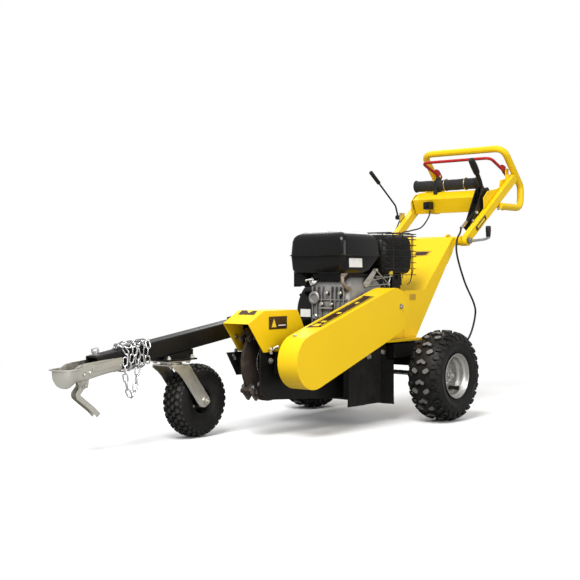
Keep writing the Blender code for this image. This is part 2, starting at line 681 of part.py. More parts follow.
def arm_point(along, side, lift=0.0):
    """A point on an arm: along is 0 at the pivot tube and 1 at the top, lift is square to the arm."""
    base = Vector((TILT_X, side * ARM_BASE_Y, TILT_Z))
    top = Vector((ARM_TOP_X, side * ARM_TOP_Y, ARM_TOP_Z))
    direction = (top - base).normalized()
    square = Vector((-direction.z, 0, direction.x)).normalized()
    return base + (top - base) * along + square * lift


def handle_arms():
    """The pivot tube with a box-section arm welded to each end."""
    tilt = (TILT_X, 0, TILT_Z)
    shapes = [cylinder((TILT_X, -0.200, TILT_Z), (TILT_X, 0.200, TILT_Z), TILT_TUBE_R, 20)]
    for side in (-1, 1):
        shapes.append(bar(arm_point(0.0, side), arm_point(1.0, side), ARM_H, ARM_W, (0, 1, 0)))
        end = side * 0.2075
        inner = side * 0.1725
        shapes.append(cylinder((TILT_X, inner, TILT_Z), (TILT_X, end, TILT_Z), 0.0225, 20))
        shapes += bail_bracket(side)
        shapes.append(gusset(side))
    stud = cylinder((TILT_X, -0.220, TILT_Z), (TILT_X, -0.190, TILT_Z), 0.006, 10)
    return combine("handle_arms", shapes + [stud], yellow_paint(), tilt)


def gusset(side):
    """Web plate on the inner face of one arm; it reaches forwards over the cross panel."""
    outline = [(0.566, 0.868), (0.562, 0.915), (0.600, 0.949), (0.690, 0.966), (0.705, 0.972),
               (0.715, 1.004), (0.745, 1.012), (0.775, 1.010), (0.700, 0.950)]
    low, high = sorted((side * 0.1895, side * 0.1935))
    return prism(outline, low, high)


def bail_bracket(side):
    """Foot, leaf and pin on top of one arm, for the bail to turn on."""
    inner, outer = sorted((side * 0.186, side * 0.203))
    foot = box((0.770, inner, 1.004), (0.800, outer, 1.034))
    inner, outer = sorted((side * 0.186, side * 0.190))
    leaf = box((0.770, inner, 1.006), (0.796, outer, 1.062))
    pin = cylinder((BAIL_X, side * 0.167, BAIL_Z), (BAIL_X, side * 0.188, BAIL_Z), 0.004, 12)
    return [foot, leaf, pin]


def handlebar_loop():
    """Round tube: out of one arm, round the operator's hand, over the top and back into the other arm."""
    corners = []
    for side, order in ((-1, 1), (1, -1)):
        y = side * 0.2125
        rail = [(0.668, y, 0.884), (0.868, y, 0.884), (0.868, y, 0.985), (BAR_X, y, BAR_Z)]
        corners += rail[::order]
    path = rounded(corners, 0.048, 5)
    seats = [bar(arm_point(-0.05, side), arm_point(1.002, side), ARM_H + 2 * GAP, ARM_W + 2 * GAP)
             for side in (-1, 1)]
    tilt = (TILT_X, 0, TILT_Z)
    return combine("handlebar_loop", [tube(path, BAR_R, 12)], yellow_paint(), tilt, seats)


def control_panel():
    """Cross panel between the arms, bent so that its lower leaf faces forwards and down."""
    sheet = [(0.594, 0.858), (0.594 + SHEET, 0.858), (0.566 + SHEET, 0.919), (0.622, 0.955),
             (0.620, 0.958), (0.566, 0.922)]
    return place("control_panel", prism(sheet, -0.1434, 0.1840), yellow_paint(), (TILT_X, 0, TILT_Z))


def document_tube():
    """Round pouch for the papers, strapped above the panel."""
    profile = [(0, 0), (0.022, 0), (0.0265, 0.006), (0.0265, 0.334), (0.022, 0.340), (0, 0.340)]
    pouch = lathe(profile, (0.628, -0.130, 0.990), segments=20)
    return place("document_tube", pouch, black_plastic(), (TILT_X, 0, TILT_Z))


def stop_switch():
    """Switch box under the panel's edge with its push button facing forwards."""
    centre = Vector((0.5535, 0.091, 0.892))
    body = box(centre - Vector((0.018, 0.016, 0.017)), centre + Vector((0.0175, 0.016, 0.017)))
    well = cylinder(centre - Vector((0.030, 0, 0)), centre - Vector((0.006, 0, 0)), 0.0095, 16)
    combine("switch_box", [body], black_plastic(), (TILT_X, 0, TILT_Z), cuts=[well])
    button = cylinder(centre - Vector((0.023, 0, 0)), centre - Vector((0.0115, 0, 0)), 0.0085, 16)
    place("stop_button", button, red_paint(), centre - Vector((0.023, 0, 0)))


def bail_lever():
    """Red operator-presence lever: a bent rod under the top bar with a lug at each pivot."""
    pivot = Vector((BAIL_X, 0, BAIL_Z))
    near, front, top = 0.176, 0.652, 1.102
    rail = rounded([(0.778, -near, 1.052), (front, -near, top), (front, near + 0.012, top),
                    (0.778, near, 1.052)], 0.030, 4)
    shapes = [tube(rail, 0.0045, 8)]
    lug = [(0.796, 1.030), (0.806, 1.046), (0.780, 1.074), (0.756, 1.080), (0.752, 1.062)]
    for y in (-near, near):
        shapes.append(prism(lug, y - 0.006, y + 0.006))
    bores = []
    for y in (-near, near):
        bores.append(cylinder((pivot.x, y - 0.02, pivot.z), (pivot.x, y + 0.02, pivot.z), 0.0048, 12))
    return combine("bail_lever", shapes, red_paint(), pivot, bores)


def brake_lever():
    """Ratchet brake: a channel bracket on the near gusset and the long hand lever on its pin."""
    pivot = Vector((0.600, -0.160, 0.925))
    leaf = [(0.470, 0.780), (0.500, 0.768), (0.640, 0.905), (0.652, 0.945), (0.625, 0.968),
            (0.575, 0.960)]
    back = [(0.480, 0.772), (0.500, 0.768), (0.560, 0.827), (0.548, 0.842)]
    shapes = [prism(leaf, -0.1795, -0.1755), prism(leaf, -0.1480, -0.1440)]
    shapes.append(prism(back, -0.1790, -0.1450))
    shapes.append(cylinder((pivot.x, -0.178, pivot.z), (pivot.x, -0.146, pivot.z), 0.005, 12))
    combine("brake_bracket", shapes, black_paint(), (TILT_X, 0, TILT_Z))
    stem = [(0.588, 0.905), (0.616, 0.905), (0.622, 0.940), (0.560, 1.020), (0.534, 1.078),
            (0.510, 1.072), (0.528, 1.012), (0.580, 0.945)]
    body = prism(stem, -0.1690, -0.1540)
    grip = bar((0.541, -0.1615, 1.030), (0.521, -0.1615, 1.080), 0.026, 0.024, (0, 1, 0))
    bore = cylinder((pivot.x, -0.18, pivot.z), (pivot.x, -0.14, pivot.z), 0.0060, 12)
    combine("brake_lever", [body, grip], black_plastic(), pivot, [bore])


def throttle_lever():
    """Engine speed lever beside the far arm: bracket with a pin, bent rod and grip."""
    pivot = Vector((0.520, 0.235, 0.842))
    leaf = box((0.500, 0.2105, 0.815), (0.540, 0.2145, 0.862))
    pin = cylinder((pivot.x, 0.212, pivot.z), (pivot.x, 0.248, pivot.z), 0.004, 12)
    combine("throttle_bracket", [leaf, pin], bright_steel(), (TILT_X, 0, TILT_Z))
    y = 0.233
    boss = ring((pivot.x, y - 0.011, pivot.z), (pivot.x, y + 0.011, pivot.z), 0.011, 0.0048, 14)
    corners = [(pivot.x - 0.005, y, pivot.z + 0.006), (0.496, y, 0.895), (0.345, y, 1.003)]
    rod = tube(rounded(corners, 0.03, 4), 0.004, 8)
    grip = tube([(0.362, y, 0.991), (0.350, y, 0.9995), (0.304, y, 1.032), (0.298, y, 1.036)], 0.009, 10)
    combine("throttle_lever", [boss, rod, grip], black_plastic(), pivot)


def clamp_crank():
    """Clamping lever of the handle's pivot: threaded boss, bent arm and grip."""
    pivot = Vector((TILT_X, -0.222, TILT_Z))
    boss = ring((pivot.x, -0.232, pivot.z), (pivot.x, -0.2085, pivot.z), 0.011, 0.0068, 14)
    steps = [(0.009, -0.004, 0), (0.075, -0.022, 0.004), (0.092, -0.026, 0.030)]
    corners = [pivot + Vector(step) for step in steps]
    arm = tube(rounded(corners, 0.012, 4), 0.0050, 8)
    grip = tube([pivot + Vector((0.084, -0.0245, 0.014)), pivot + Vector((0.106, -0.0290, 0.062))], 0.012, 10)
    combine("clamp_crank", [boss, arm, grip], black_plastic(), pivot)


# ------------------------------------------------------------------------------------------- drawbar

def beam_z(x):
    """Height of the beam's centre line."""
    return BEAM_REF_Z + BEAM_SLOPE * (x - BEAM_REF_X)


def on_beam(x):
    return Vector((x, BEAM_Y, beam_z(x)))


def pin_hole():
    """Cross hole for the pin that holds the beam in its sleeve."""
    across = Vector((0, 0.075, 0))
    return cylinder(on_beam(PIN_X) - across, on_beam(PIN_X) + across, 0.0066, 12)


def drawbar():
    beam = bar(on_beam(BEAM_FRONT_X), on_beam(BEAM_REAR_X), BEAM_W, BEAM_W)
    return combine("drawbar", [beam], black_paint(), cuts=[pin_hole()])


def drawbar_receiver():
    """Sleeve that the beam slides into, on two webs down to the deck."""
    front, back = -0.720, -0.585
    wall, slack = 0.005, 0.0006
    outer = BEAM_W + 2 * (wall + slack)
    sleeve = bar(on_beam(front), on_beam(back), outer, outer)
    bore = bar(on_beam(front - 0.05), on_beam(back + 0.05), BEAM_W + 2 * slack, BEAM_W + 2 * slack)
    web = [(-0.700, 0.356), (-0.600, 0.370), (-0.500, 0.318), (-0.500, 0.3115), (-0.590, 0.3115),
           (-0.640, 0.330)]
    webs = [prism(web, y, y + 0.006) for y in (BEAM_Y - 0.030, BEAM_Y + 0.024)]
    foot = box((-0.592, 0.080, DECK_Z + GAP), (-0.480, 0.170, DECK_Z + 0.008))
    combine("drawbar_receiver", [sleeve] + webs + [foot], black_paint(), cuts=[bore, pin_hole()])
    z = beam_z(PIN_X)
    pin = cylinder((PIN_X, 0.078, z), (PIN_X, 0.170, z), 0.0060, 12)
    head = cylinder((PIN_X, 0.1645, z), (PIN_X, 0.1740, z), 0.0110, 12)
    combine("receiver_pin", [pin, head], zinc(), (PIN_X, BEAM_Y, z))


def coupling_channel():
    """Channel that wraps the beam from below, and the tool that hollows it."""
    wall = 0.004
    under = BEAM_W / 2 * 1.011 + 0.0006
    inner = BEAM_W / 2 + 0.0008
    front_x = -1.472
    side = [(COUPLING_REAR_X, beam_z(COUPLING_REAR_X) - under - wall),
            (front_x, beam_z(front_x) - under - wall), (front_x, 0.2935), (-1.444, 0.2960),
            (COUPLING_REAR_X, 0.3060)]
    channel = prism(side, BEAM_Y - inner - wall, BEAM_Y + inner + wall)
    open_rear, open_front = COUPLING_REAR_X + 0.03, front_x + wall
    trough = prism([(open_rear, beam_z(open_rear) - under), (open_front, beam_z(open_front) - under),
                    (open_front, 0.36), (open_rear, 0.36)], BEAM_Y - inner, BEAM_Y + inner)
    return channel, trough


def ball_coupling():
    """Pressed tow coupling, fitted dome down: channel, nose with the ball socket, and the latch's lugs."""
    channel, trough = coupling_channel()
    nose = (-1.512, BEAM_Y, 0.262)
    dome = lathe([(0, -0.0460), (0.020, -0.0440), (0.036, -0.0300), (0.0425, -0.0100),
                  (0.0440, 0.0100), (0.0500, 0.0120), (0.0500, 0.0160), (0, 0.0160)], nose, (0, 0, 1), 24)
    neck = prism([(-1.4705, 0.2400), (-1.4705, 0.2915), (-1.5000, 0.2760), (-1.5200, 0.2760),
                  (-1.5200, 0.2330), (-1.4900, 0.2300)], BEAM_Y - 0.0335, BEAM_Y + 0.0335)
    socket = lathe([(0, -0.037), (0.014, -0.036), (0.0262, -0.022), (0.0262, 0.06), (0, 0.06)],
                   nose, (0, 0, 1), 20)
    x, z = LATCH_X, LATCH_Z
    lug = [(x - 0.015, z + 0.0185), (x - 0.010, z - 0.009), (x + 0.010, z - 0.009), (x + 0.015, z + 0.0185)]
    lugs = [prism(lug, y, y + 0.004) for y in (BEAM_Y - 0.018, BEAM_Y + 0.014)]
    cross = cylinder((x, BEAM_Y - 0.0165, z), (x, BEAM_Y + 0.0165, z), 0.004, 10)
    combine("ball_coupling", [channel, neck, dome, *lugs, cross], zinc(), cuts=[trough, socket])


def coupling_latch():
    """Latch handle on its pin between the lugs: it bends forwards, then back under the beam."""
    x, z = LATCH_X, LATCH_Z
    blade = prism([(x - 0.009, z - 0.0125), (x + 0.010, z - 0.0105), (x + 0.009, z + 0.0085),
                   (x - 0.009, z + 0.0085)], BEAM_Y - 0.012, BEAM_Y + 0.012)
    bends = rounded([(x - 0.0015, BEAM_Y, z - 0.0070), (x - 0.0260, BEAM_Y, z - 0.0290),
                     (x + 0.0460, BEAM_Y, z - 0.0960), (x + 0.0840, BEAM_Y, z - 0.1170)], 0.016)
    strap = sweep(bends, [(-0.005, -0.013), (0.005, -0.013), (0.005, 0.013), (-0.005, 0.013)])
    bore = cylinder((x, BEAM_Y - 0.03, z), (x, BEAM_Y + 0.03, z), 0.0048, 10)
    combine("coupling_latch", [blade, strap], zinc(), (x, BEAM_Y, z), [bore])


def tow_eye():
    """Lifting eye screwed through the beam's front end."""
    x = -1.375
    top = beam_z(x) + BEAM_W / 2 * 1.011
    nut = cylinder((x, BEAM_Y, top + 0.0025), (x, BEAM_Y, top + 0.0115), 0.013, 6)
    eye = lathe([(0.0135 + 0.004 * math.cos(a), 0.004 * math.sin(a)) for a in
                 (math.radians(45 * k) for k in range(8))], (x, BEAM_Y, top + 0.026), (0, 1, 0), 16)
    return combine("tow_eye", [nut, eye], zinc())


def safety_chain():
    """The chain's envelope: a collar of turns round the beam and one loop hanging beside it."""
    front, back = -1.292, -1.176
    thick = 0.014
    clear = BEAM_W + 0.002
    collar = bar(on_beam(front), on_beam(back), clear + 2 * thick, clear + 2 * thick)
    core = bar(on_beam(front - 0.05), on_beam(back + 0.05), clear, clear)
    y = BEAM_Y - clear / 2 - thick / 2
    loop = rounded([(-1.262, y, 0.300), (-1.262, y, 0.262), (-1.276, y - 0.017, 0.196),
                    (-1.292, y - 0.017, 0.196), (-1.290, y, 0.262), (-1.284, y, 0.300)], 0.008, 3)
    return combine("safety_chain", [collar, tube(loop, 0.006, 8)], zinc(), cuts=[core])


# -------------------------------------------------------------------------------------------- caster

def caster_bracket():
    """Black wedge under the beam that levels the caster, with its mounting plate."""
    x0, x1 = -1.105, -0.965
    under = BEAM_W / 2 * 1.011 + 0.0008
    outline = [(x0, 0.2835), (x1, 0.2835), (x1, beam_z(x1) - under),
               (x0 + 0.004, beam_z(x0 + 0.004) - under), (x0, 0.2860)]
    wedge = prism(outline, BEAM_Y - 0.028, BEAM_Y + 0.028)
    plate = box((x0 - 0.004, BEAM_Y - 0.044, 0.2790), (x1 + 0.004, BEAM_Y + 0.044, 0.2850))
    return combine("caster_bracket", [wedge, plate], black_paint())


def caster_mount_plate():
    """Zinc top plate with the upper race of the swivel."""
    plate = box((-1.100, BEAM_Y - 0.042, 0.2745), (-0.990, BEAM_Y + 0.042, 0.2787))
    race = cylinder((SWIVEL_X, BEAM_Y, 0.2695), (SWIVEL_X, BEAM_Y, 0.2760), 0.032, 24)
    return combine("caster_mount_plate", [plate, race], zinc())


def caster_fork():
    """Crown with two trailing legs and the wheel's bolt through them."""
    crown = cylinder((SWIVEL_X, BEAM_Y, CROWN_Z), (SWIVEL_X, BEAM_Y, 0.2692), 0.036, 24)
    plate = box((SWIVEL_X - 0.041, BEAM_Y - 0.056, CROWN_Z),
                (SWIVEL_X + 0.041, BEAM_Y + 0.056, CROWN_Z + 0.0045))
    leg = ([(SWIVEL_X - 0.040, CROWN_Z + 0.003)] + arc(CASTER_X, CASTER_Z, 0.018, 218, 398, 8)
           + [(SWIVEL_X + 0.048, CROWN_Z - 0.028), (SWIVEL_X + 0.036, CROWN_Z + 0.003)])
    legs = [prism(leg, BEAM_Y + a, BEAM_Y + a + 0.005) for a in (-0.055, 0.050)]
    ends = [(CASTER_X, BEAM_Y + a, CASTER_Z) for a in (-0.060, 0.060)]
    bolt = cylinder(*ends, CASTER_AXLE_R, 12)
    heads = [cylinder((CASTER_X, y, CASTER_Z), (CASTER_X, y + 0.008, CASTER_Z), 0.010, 6)
             for y in (BEAM_Y - 0.062, BEAM_Y + 0.054)]
    combine("caster_fork", [crown, plate, *legs, bolt, *heads], zinc(), (SWIVEL_X, BEAM_Y, CROWN_Z))


# -------------------------------------------------------------------------------------------- wheels

def tyre(name, centre, radius, width, bead_radius, segments):
    """Tyre as a turned ring: beads, side walls, shoulders and a slightly crowned tread."""
    half = width / 2
    wall = radius - bead_radius
    side = [(bead_radius, 0.76 * half), (bead_radius + 0.12 * wall, 0.77 * half),
            (bead_radius + 0.28 * wall, 0.97 * half), (bead_radius + 0.62 * wall, half),
            (bead_radius + 0.88 * wall, 0.86 * half), (radius, 0.56 * half)]
    profile = [(r, -y) for r, y in side] + [(r, y) for r, y in reversed(side)]
    return place(name, lathe(profile, centre, segments=segments), rubber(), centre)


def rear_rim(name, centre, outward):
    """Steel rim with rolled edges, a deep dish, the wheel disc and a hub tube for the axle."""
    half = RIM_W / 2
    barrel = BEAD_R - 0.0006
    wall = 0.0032
    lip = BEAD_R + 0.009
    profile = [(barrel, -half + 0.0035), (lip, -half + 0.0035), (lip, -half), (barrel - wall, -half),
               (barrel - wall - 0.010, -half + 0.022), (barrel - wall - 0.010, -0.004), (0.028, -0.012),
               (0.028, -0.034), (HUB_BORE_R, -0.034), (HUB_BORE_R, 0.034), (0.028, 0.034), (0.028, -0.008),
               (barrel - wall - 0.010, 0.000), (barrel - wall - 0.010, half - 0.022), (barrel - wall, half),
               (lip, half), (lip, half - 0.0035), (barrel, half - 0.0035)]
    profile = [(r, -outward * y) for r, y in profile]
    return place(name, lathe(profile, centre, segments=32), zinc(), centre)


def caster_rim(centre):
    half = CASTER_W / 2 * 0.80
    barrel = CASTER_BEAD_R - 0.0006
    profile = [(barrel, -half), (barrel, half), (barrel - 0.006, half), (barrel - 0.012, 0.006),
               (0.018, 0.006), (0.018, half + 0.008), (CASTER_AXLE_R + 0.0009, half + 0.008),
               (CASTER_AXLE_R + 0.0009, -half - 0.008), (0.018, -half - 0.008), (0.018, -0.006),
               (barrel - 0.012, -0.006), (barrel - 0.006, -half)]
    return place("caster_rim", lathe(profile, centre, segments=24), black_paint(), centre)


def wheels():
    for name, side in (("left", -1), ("right", 1)):
        centre = Vector((0, side * TRACK / 2, AXLE_Z))
        tyre(f"{name}_tyre", centre, TYRE_R, TYRE_W, BEAD_R, 32)
        rear_rim(f"{name}_rim", centre, side)
    caster_centre = Vector((CASTER_X, BEAM_Y, CASTER_Z))
    tyre("caster_tyre", caster_centre, CASTER_R, CASTER_W, CASTER_BEAD_R, 28)
    caster_rim(caster_centre)


# --------------------------------------------------------------------------------------------- build

def clear_scene():
    for obj in list(bpy.data.objects):
        bpy.data.objects.remove(obj)
    for mesh in list(bpy.data.meshes):
        bpy.data.meshes.remove(mesh)


def build():
    clear_scene()
    datum = bpy.data.objects.new("rear_axle_datum", None)
    datum.location = (AXLE_X, 0, 0)
    bpy.context.collection.objects.link(datum)
    bpy.context.view_layer.update()

    deck_frame()
    axle()
    cutter_housing()
    cutter_hood()
    belt_guard()
    guard_backplate()
    flaps()

    cutter_wheel()
    cutter_teeth()
    cutter_shaft()
    shaft_bearing()
    pulleys()
    drive_belt()

    crankcase()
    cylinder_head()
    fan_housing()
    recoil_starter()
    fuel_tank()
    air_cleaner()
    carburettor()
    muffler()
    muffler_guard()

    column()
    handle_arms()
    handlebar_loop()
    control_panel()
    document_tube()
    stop_switch()
    bail_lever()
    brake_lever()
    throttle_lever()
    clamp_crank()

    drawbar()
    drawbar_receiver()
    ball_coupling()
    coupling_latch()
    tow_eye()
    safety_chain()
    caster_bracket()
    caster_mount_plate()
    caster_fork()
    wheels()


build()
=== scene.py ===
"""Looks for the stump grinder: materials, and the pieces that the CAD frame leaves plain or leaves out.

Lengths are in metres. Points are given from the ground under the middle of the rear axle, like the CAD's.
piece() moves a finished shape into the row frame.
"""

import math
import random

import bmesh
import bpy
from mathutils import Matrix, Vector


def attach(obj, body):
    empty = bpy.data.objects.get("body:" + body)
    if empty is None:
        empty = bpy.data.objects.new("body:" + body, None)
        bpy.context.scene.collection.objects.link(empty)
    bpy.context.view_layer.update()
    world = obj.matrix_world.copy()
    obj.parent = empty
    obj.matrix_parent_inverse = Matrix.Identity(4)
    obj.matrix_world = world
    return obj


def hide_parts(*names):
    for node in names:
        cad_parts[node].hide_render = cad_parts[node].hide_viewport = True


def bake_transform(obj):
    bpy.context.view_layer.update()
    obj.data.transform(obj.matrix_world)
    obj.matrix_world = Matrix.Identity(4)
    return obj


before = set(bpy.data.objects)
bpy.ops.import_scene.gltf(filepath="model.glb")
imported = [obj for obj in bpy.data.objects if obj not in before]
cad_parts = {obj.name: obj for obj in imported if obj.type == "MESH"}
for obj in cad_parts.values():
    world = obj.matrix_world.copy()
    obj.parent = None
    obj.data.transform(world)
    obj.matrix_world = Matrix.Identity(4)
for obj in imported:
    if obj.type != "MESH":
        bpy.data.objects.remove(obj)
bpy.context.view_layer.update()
AXLE_X = 0.34             # the rear axle's place in the row frame
random.seed(7)            # for the small turns of the chain's links

FRONT, BACK = (-1, 0, 0), (1, 0, 0)
NEAR, FAR = (0, -1, 0), (0, 1, 0)
DOWN, UP = (0, 0, -1), (0, 0, 1)

BEAM_Y, BEAM_W = 0.125, 0.06
BEAM_X, BEAM_Z = -0.933, 0.3516     # a point on the drawbar's centre line
BEAM_SLOPE = 0.1454                 # its rise over run
SWIVEL_X = -1.045                   # the caster's swivel axis
NOSE_X = -1.507                     # where the coupling's round nose begins
CUTTER = Vector((-0.726, -0.045, 0.264))
CRANK = Vector((-0.262, 0.0, 0.433))
TILT = Vector((0.405, 0.0, 0.722))
CASTER = Vector((-0.929, 0.125, 0.1305))
CLAMP_Y = -0.222                    # the clamping crank's hub
SIDE_BOLT_Y = 0.2065                # where the handle's side bolts stand, from the middle
TRACK = 0.668
AXLE_Z = 0.179
HOOD_SIDE_Y = -0.1052               # just outside the hood's near face
GUARD_FRONT, GUARD_REAR = (-0.728, 0.272, 0.097), (-0.228, 0.435, 0.09)


def beam_z(x):
    """Height of the drawbar's centre line."""
    return BEAM_Z + BEAM_SLOPE * (x - BEAM_X)


# ---------------------------------------------------------------------------------------- materials

class Graph:
    """A material's node tree with short calls for the nodes used here."""

    def __init__(self, name):
        self.material = bpy.data.materials.new(name)
        self.material.use_nodes = True
        self.tree = self.material.node_tree
        self.shader = self.tree.nodes["Principled BSDF"]
        self.coords = self.tree.nodes.new("ShaderNodeTexCoord").outputs["Object"]

    def link(self, source, target):
        self.tree.links.new(source, target)

    def put(self, name, value):
        socket = self.shader.inputs[name]
        if hasattr(value, "node"):
            self.link(value, socket)
        else:
            socket.default_value = (*value, 1.0) if isinstance(value, tuple) and len(value) == 3 else value

    def noise(self, scale, detail=4.0, rough=0.55, stretch=None):
        node = self.tree.nodes.new("ShaderNodeTexNoise")
        node.inputs["Scale"].default_value = scale
        node.inputs["Detail"].default_value = detail
        node.inputs["Roughness"].default_value = rough
        source = self.coords
        if stretch:
            mapping = self.tree.nodes.new("ShaderNodeMapping")
            mapping.inputs["Scale"].default_value = stretch
            self.link(self.coords, mapping.inputs["Vector"])
            source = mapping.outputs["Vector"]
        self.link(source, node.inputs["Vector"])
        return node.outputs["Fac"]

    def cells(self, scale):
        node = self.tree.nodes.new("ShaderNodeTexVoronoi")
        node.inputs["Scale"].default_value = scale
        self.link(self.coords, node.inputs["Vector"])
        return node.outputs["Distance"]

    def ramp(self, value, low, high, to_low=0.0, to_high=1.0):
        node = self.tree.nodes.new("ShaderNodeMapRange")
        for name, number in (("From Min", low), ("From Max", high), ("To Min", to_low), ("To Max", to_high)):
            node.inputs[name].default_value = number
        self.link(value, node.inputs["Value"])
        return node.outputs["Result"]

    def mix(self, factor, one, other):
        node = self.tree.nodes.new("ShaderNodeMix")
        node.data_type = "RGBA"
        for name, value in (("Factor", factor), ("A", one), ("B", other)):
            socket = [s for s in node.inputs if s.name == name and s.type in ("VALUE", "RGBA")]
            socket = socket[0] if name == "Factor" else [s for s in socket if s.type == "RGBA"][0]
            if hasattr(value, "node"):
                self.link(value, socket)
            elif name == "Factor":
                socket.default_value = value
            else:
                socket.default_value = (*value, 1.0)
        return [s for s in node.outputs if s.type == "RGBA"][0]

    def math(self, kind, one, other):
        node = self.tree.nodes.new("ShaderNodeMath")
        node.operation = kind
        for i, value in enumerate((one, other)):
            if hasattr(value, "node"):
                self.link(value, node.inputs[i])
            else:
                node.inputs[i].default_value = value
        return node.outputs[0]

    def edges(self, radius):
        """0 on open surfaces, rising towards 1 along sharp edges."""
        bevel = self.tree.nodes.new("ShaderNodeBevel")
        bevel.samples = 3
        bevel.inputs["Radius"].default_value = radius
        geometry = self.tree.nodes.new("ShaderNodeNewGeometry")
        dot = self.tree.nodes.new("ShaderNodeVectorMath")
        dot.operation = "DOT_PRODUCT"
        self.link(bevel.outputs["Normal"], dot.inputs[0])
        self.link(geometry.outputs["Normal"], dot.inputs[1])
        return self.ramp(dot.outputs["Value"], 0.995, 0.86)

    def painted_shade(self, reach):
        """1 on open surfaces, falling towards 0 in corners and gaps where shade falls: the mask for painted
        shade.
        """
        node = self.tree.nodes.new("ShaderNodeAmbientOcclusion")
        node.samples = 4
        node.inputs["Distance"].default_value = reach
        return self.ramp(node.outputs["AO"], 0.35, 0.9)

    def bump(self, height, strength, distance=0.001):
        node = self.tree.nodes.new("ShaderNodeBump")
        node.inputs["Strength"].default_value = strength
        node.inputs["Distance"].default_value = distance
        self.link(height, node.inputs["Height"])
        self.link(node.outputs["Normal"], self.shader.inputs["Normal"])


def shade(colour, factor):
    """A colour made darker or lighter."""
    return tuple(min(1.0, c * factor) for c in colour)


def painted(name, colour, roughness=0.34, wear=(0.25, 0.22, 0.2), wear_amount=0.5, dust=0.12, sheen=0.25):
    """Sprayed paint: slight mottling, orange peel, dulled patches, rubbed edges, a little dust, and painted
    shade darkening corners and gaps.
    """
    g = Graph(name)
    base = g.mix(g.noise(2.2), shade(colour, 0.93), shade(colour, 1.06))
    grime = g.ramp(g.noise(9.0, 6.0, 0.7), 0.56, 0.78, 0.0, dust)
    base = g.mix(grime, base, (0.16, 0.13, 0.09))
    rub = g.math("MULTIPLY", g.edges(0.0016), g.ramp(g.noise(38.0), 0.47, 0.62, 0.0, wear_amount))
    # Painted shade: the colour darkens to 0.45 of itself in corners and gaps, where shade falls.
    g.put("Base Color", g.mix(g.painted_shade(0.012), shade(colour, 0.45), g.mix(rub, base, wear)))
    g.put("Roughness", g.ramp(g.noise(16.0, 5.0), 0.3, 0.7, roughness - 0.06, roughness + 0.12))
    g.put("Specular IOR Level", sheen)
    g.put("Coat Weight", sheen * 0.35)
    g.put("Coat Roughness", 0.18)
    g.bump(g.noise(260.0, 2.0), 0.05, 0.0006)
    return g.material


def metal(name, colour, roughness=0.35, mottle=0.14, grain=None, tint=None, bump=0.08):
    """Bare or plated metal: cloudy plating, fine grain along one direction, small pits, and painted shade
    darkening corners and gaps.
    """
    g = Graph(name)
    base = g.mix(g.noise(7.0, 5.0), shade(colour, 1 - mottle), shade(colour, 1 + mottle * 0.6))
    if tint:
        base = g.mix(g.ramp(g.noise(5.0, 3.0), 0.52, 0.72, 0.0, 0.45), base, tint)
    # Painted shade: the colour darkens to 0.3 of itself in corners and gaps, where shade falls.
    g.put("Base Color", g.mix(g.painted_shade(0.006), shade(colour, 0.3), base))
    g.put("Metallic", 1.0)
    fine = g.noise(90.0, 4.0, 0.6, grain)
    g.put("Roughness", g.ramp(fine, 0.3, 0.7, roughness - 0.08, roughness + 0.13))
    g.bump(g.math("ADD", fine, g.noise(400.0, 2.0)), bump, 0.0005)
    return g.material


def cast(name, colour):
    """Sand-cast aluminium: bright skin, coarse grain, and painted shade darkening corners and gaps."""
    g = Graph(name)
    grain = g.noise(520.0, 3.0, 0.7)
    base = g.mix(g.ramp(g.noise(11.0, 6.0), 0.35, 0.7), shade(colour, 0.72), shade(colour, 1.08))
    base = g.mix(g.ramp(grain, 0.35, 0.65, 0.0, 0.3), base, shade(colour, 0.55))
    # Painted shade: the colour darkens to 0.16 of itself in corners and gaps, where shade falls.
    g.put("Base Color", g.mix(g.painted_shade(0.02), shade(colour, 0.16), base))
    g.put("Metallic", 0.75)
    g.put("Roughness", g.ramp(grain, 0.3, 0.7, 0.42, 0.66))
    g.bump(grain, 0.35, 0.0008)
    return g.material


def rubbery(name, colour, roughness=0.72, dust=0.3, grain=900.0, sheen=0.25):
    """Moulded rubber: matte, with grey dust in the low places and a fine skin."""
    g = Graph(name)
    low = g.ramp(g.noise(14.0, 6.0, 0.7), 0.45, 0.75, 0.0, dust)
    base = g.mix(g.noise(3.0), shade(colour, 0.75), shade(colour, 1.3))
    g.put("Base Color", g.mix(low, base, (0.11, 0.1, 0.085)))
    g.put("Roughness", g.ramp(g.noise(25.0, 5.0), 0.3, 0.7, roughness - 0.14, roughness + 0.1))
    g.put("Specular IOR Level", sheen)
    g.bump(g.math("ADD", g.noise(grain, 2.0), g.noise(60.0, 4.0)), 0.18, 0.0008)
    return g.material


def plastic(name, colour, roughness=0.42, texture=0.2):
    """Moulded plastic: even colour, a pebbled skin and handling marks."""
    g = Graph(name)
    g.put("Base Color", g.mix(g.noise(6.0, 4.0), shade(colour, 0.8), shade(colour, 1.35)))
    g.put("Roughness", g.ramp(g.noise(30.0, 5.0), 0.35, 0.7, roughness - 0.07, roughness + 0.15))
    g.put("Specular IOR Level", 0.3)
    g.bump(g.cells(1400.0), texture, 0.0004)
    return g.material


def woven(name, colour):
    """Coated cloth: a fine plain weave over soft creases."""
    g = Graph(name)
    g.put("Base Color", g.mix(g.noise(20.0, 5.0), shade(colour, 0.7), shade(colour, 1.5)))
    g.put("Roughness", 0.78)
    g.put("Sheen Weight", 0.06)
    waves = []
    for direction in ("X", "Z"):
        wave = g.tree.nodes.new("ShaderNodeTexWave")
        wave.bands_direction = direction
        wave.inputs["Scale"].default_value = 260.0
        g.link(g.coords, wave.inputs["Vector"])
        waves.append(wave.outputs["Fac"])
    g.bump(g.math("ADD", g.math("MULTIPLY", *waves), g.noise(18.0, 4.0)), 0.35, 0.0012)
    return g.material


def glossy_print(name, colour, roughness=0.3):
    """Printed sticker film."""
    g = Graph(name)
    g.put("Base Color", g.mix(g.noise(40.0), shade(colour, 0.9), shade(colour, 1.1)))
    g.put("Roughness", g.ramp(g.noise(50.0), 0.3, 0.7, roughness - 0.05, roughness + 0.1))
    return g.material


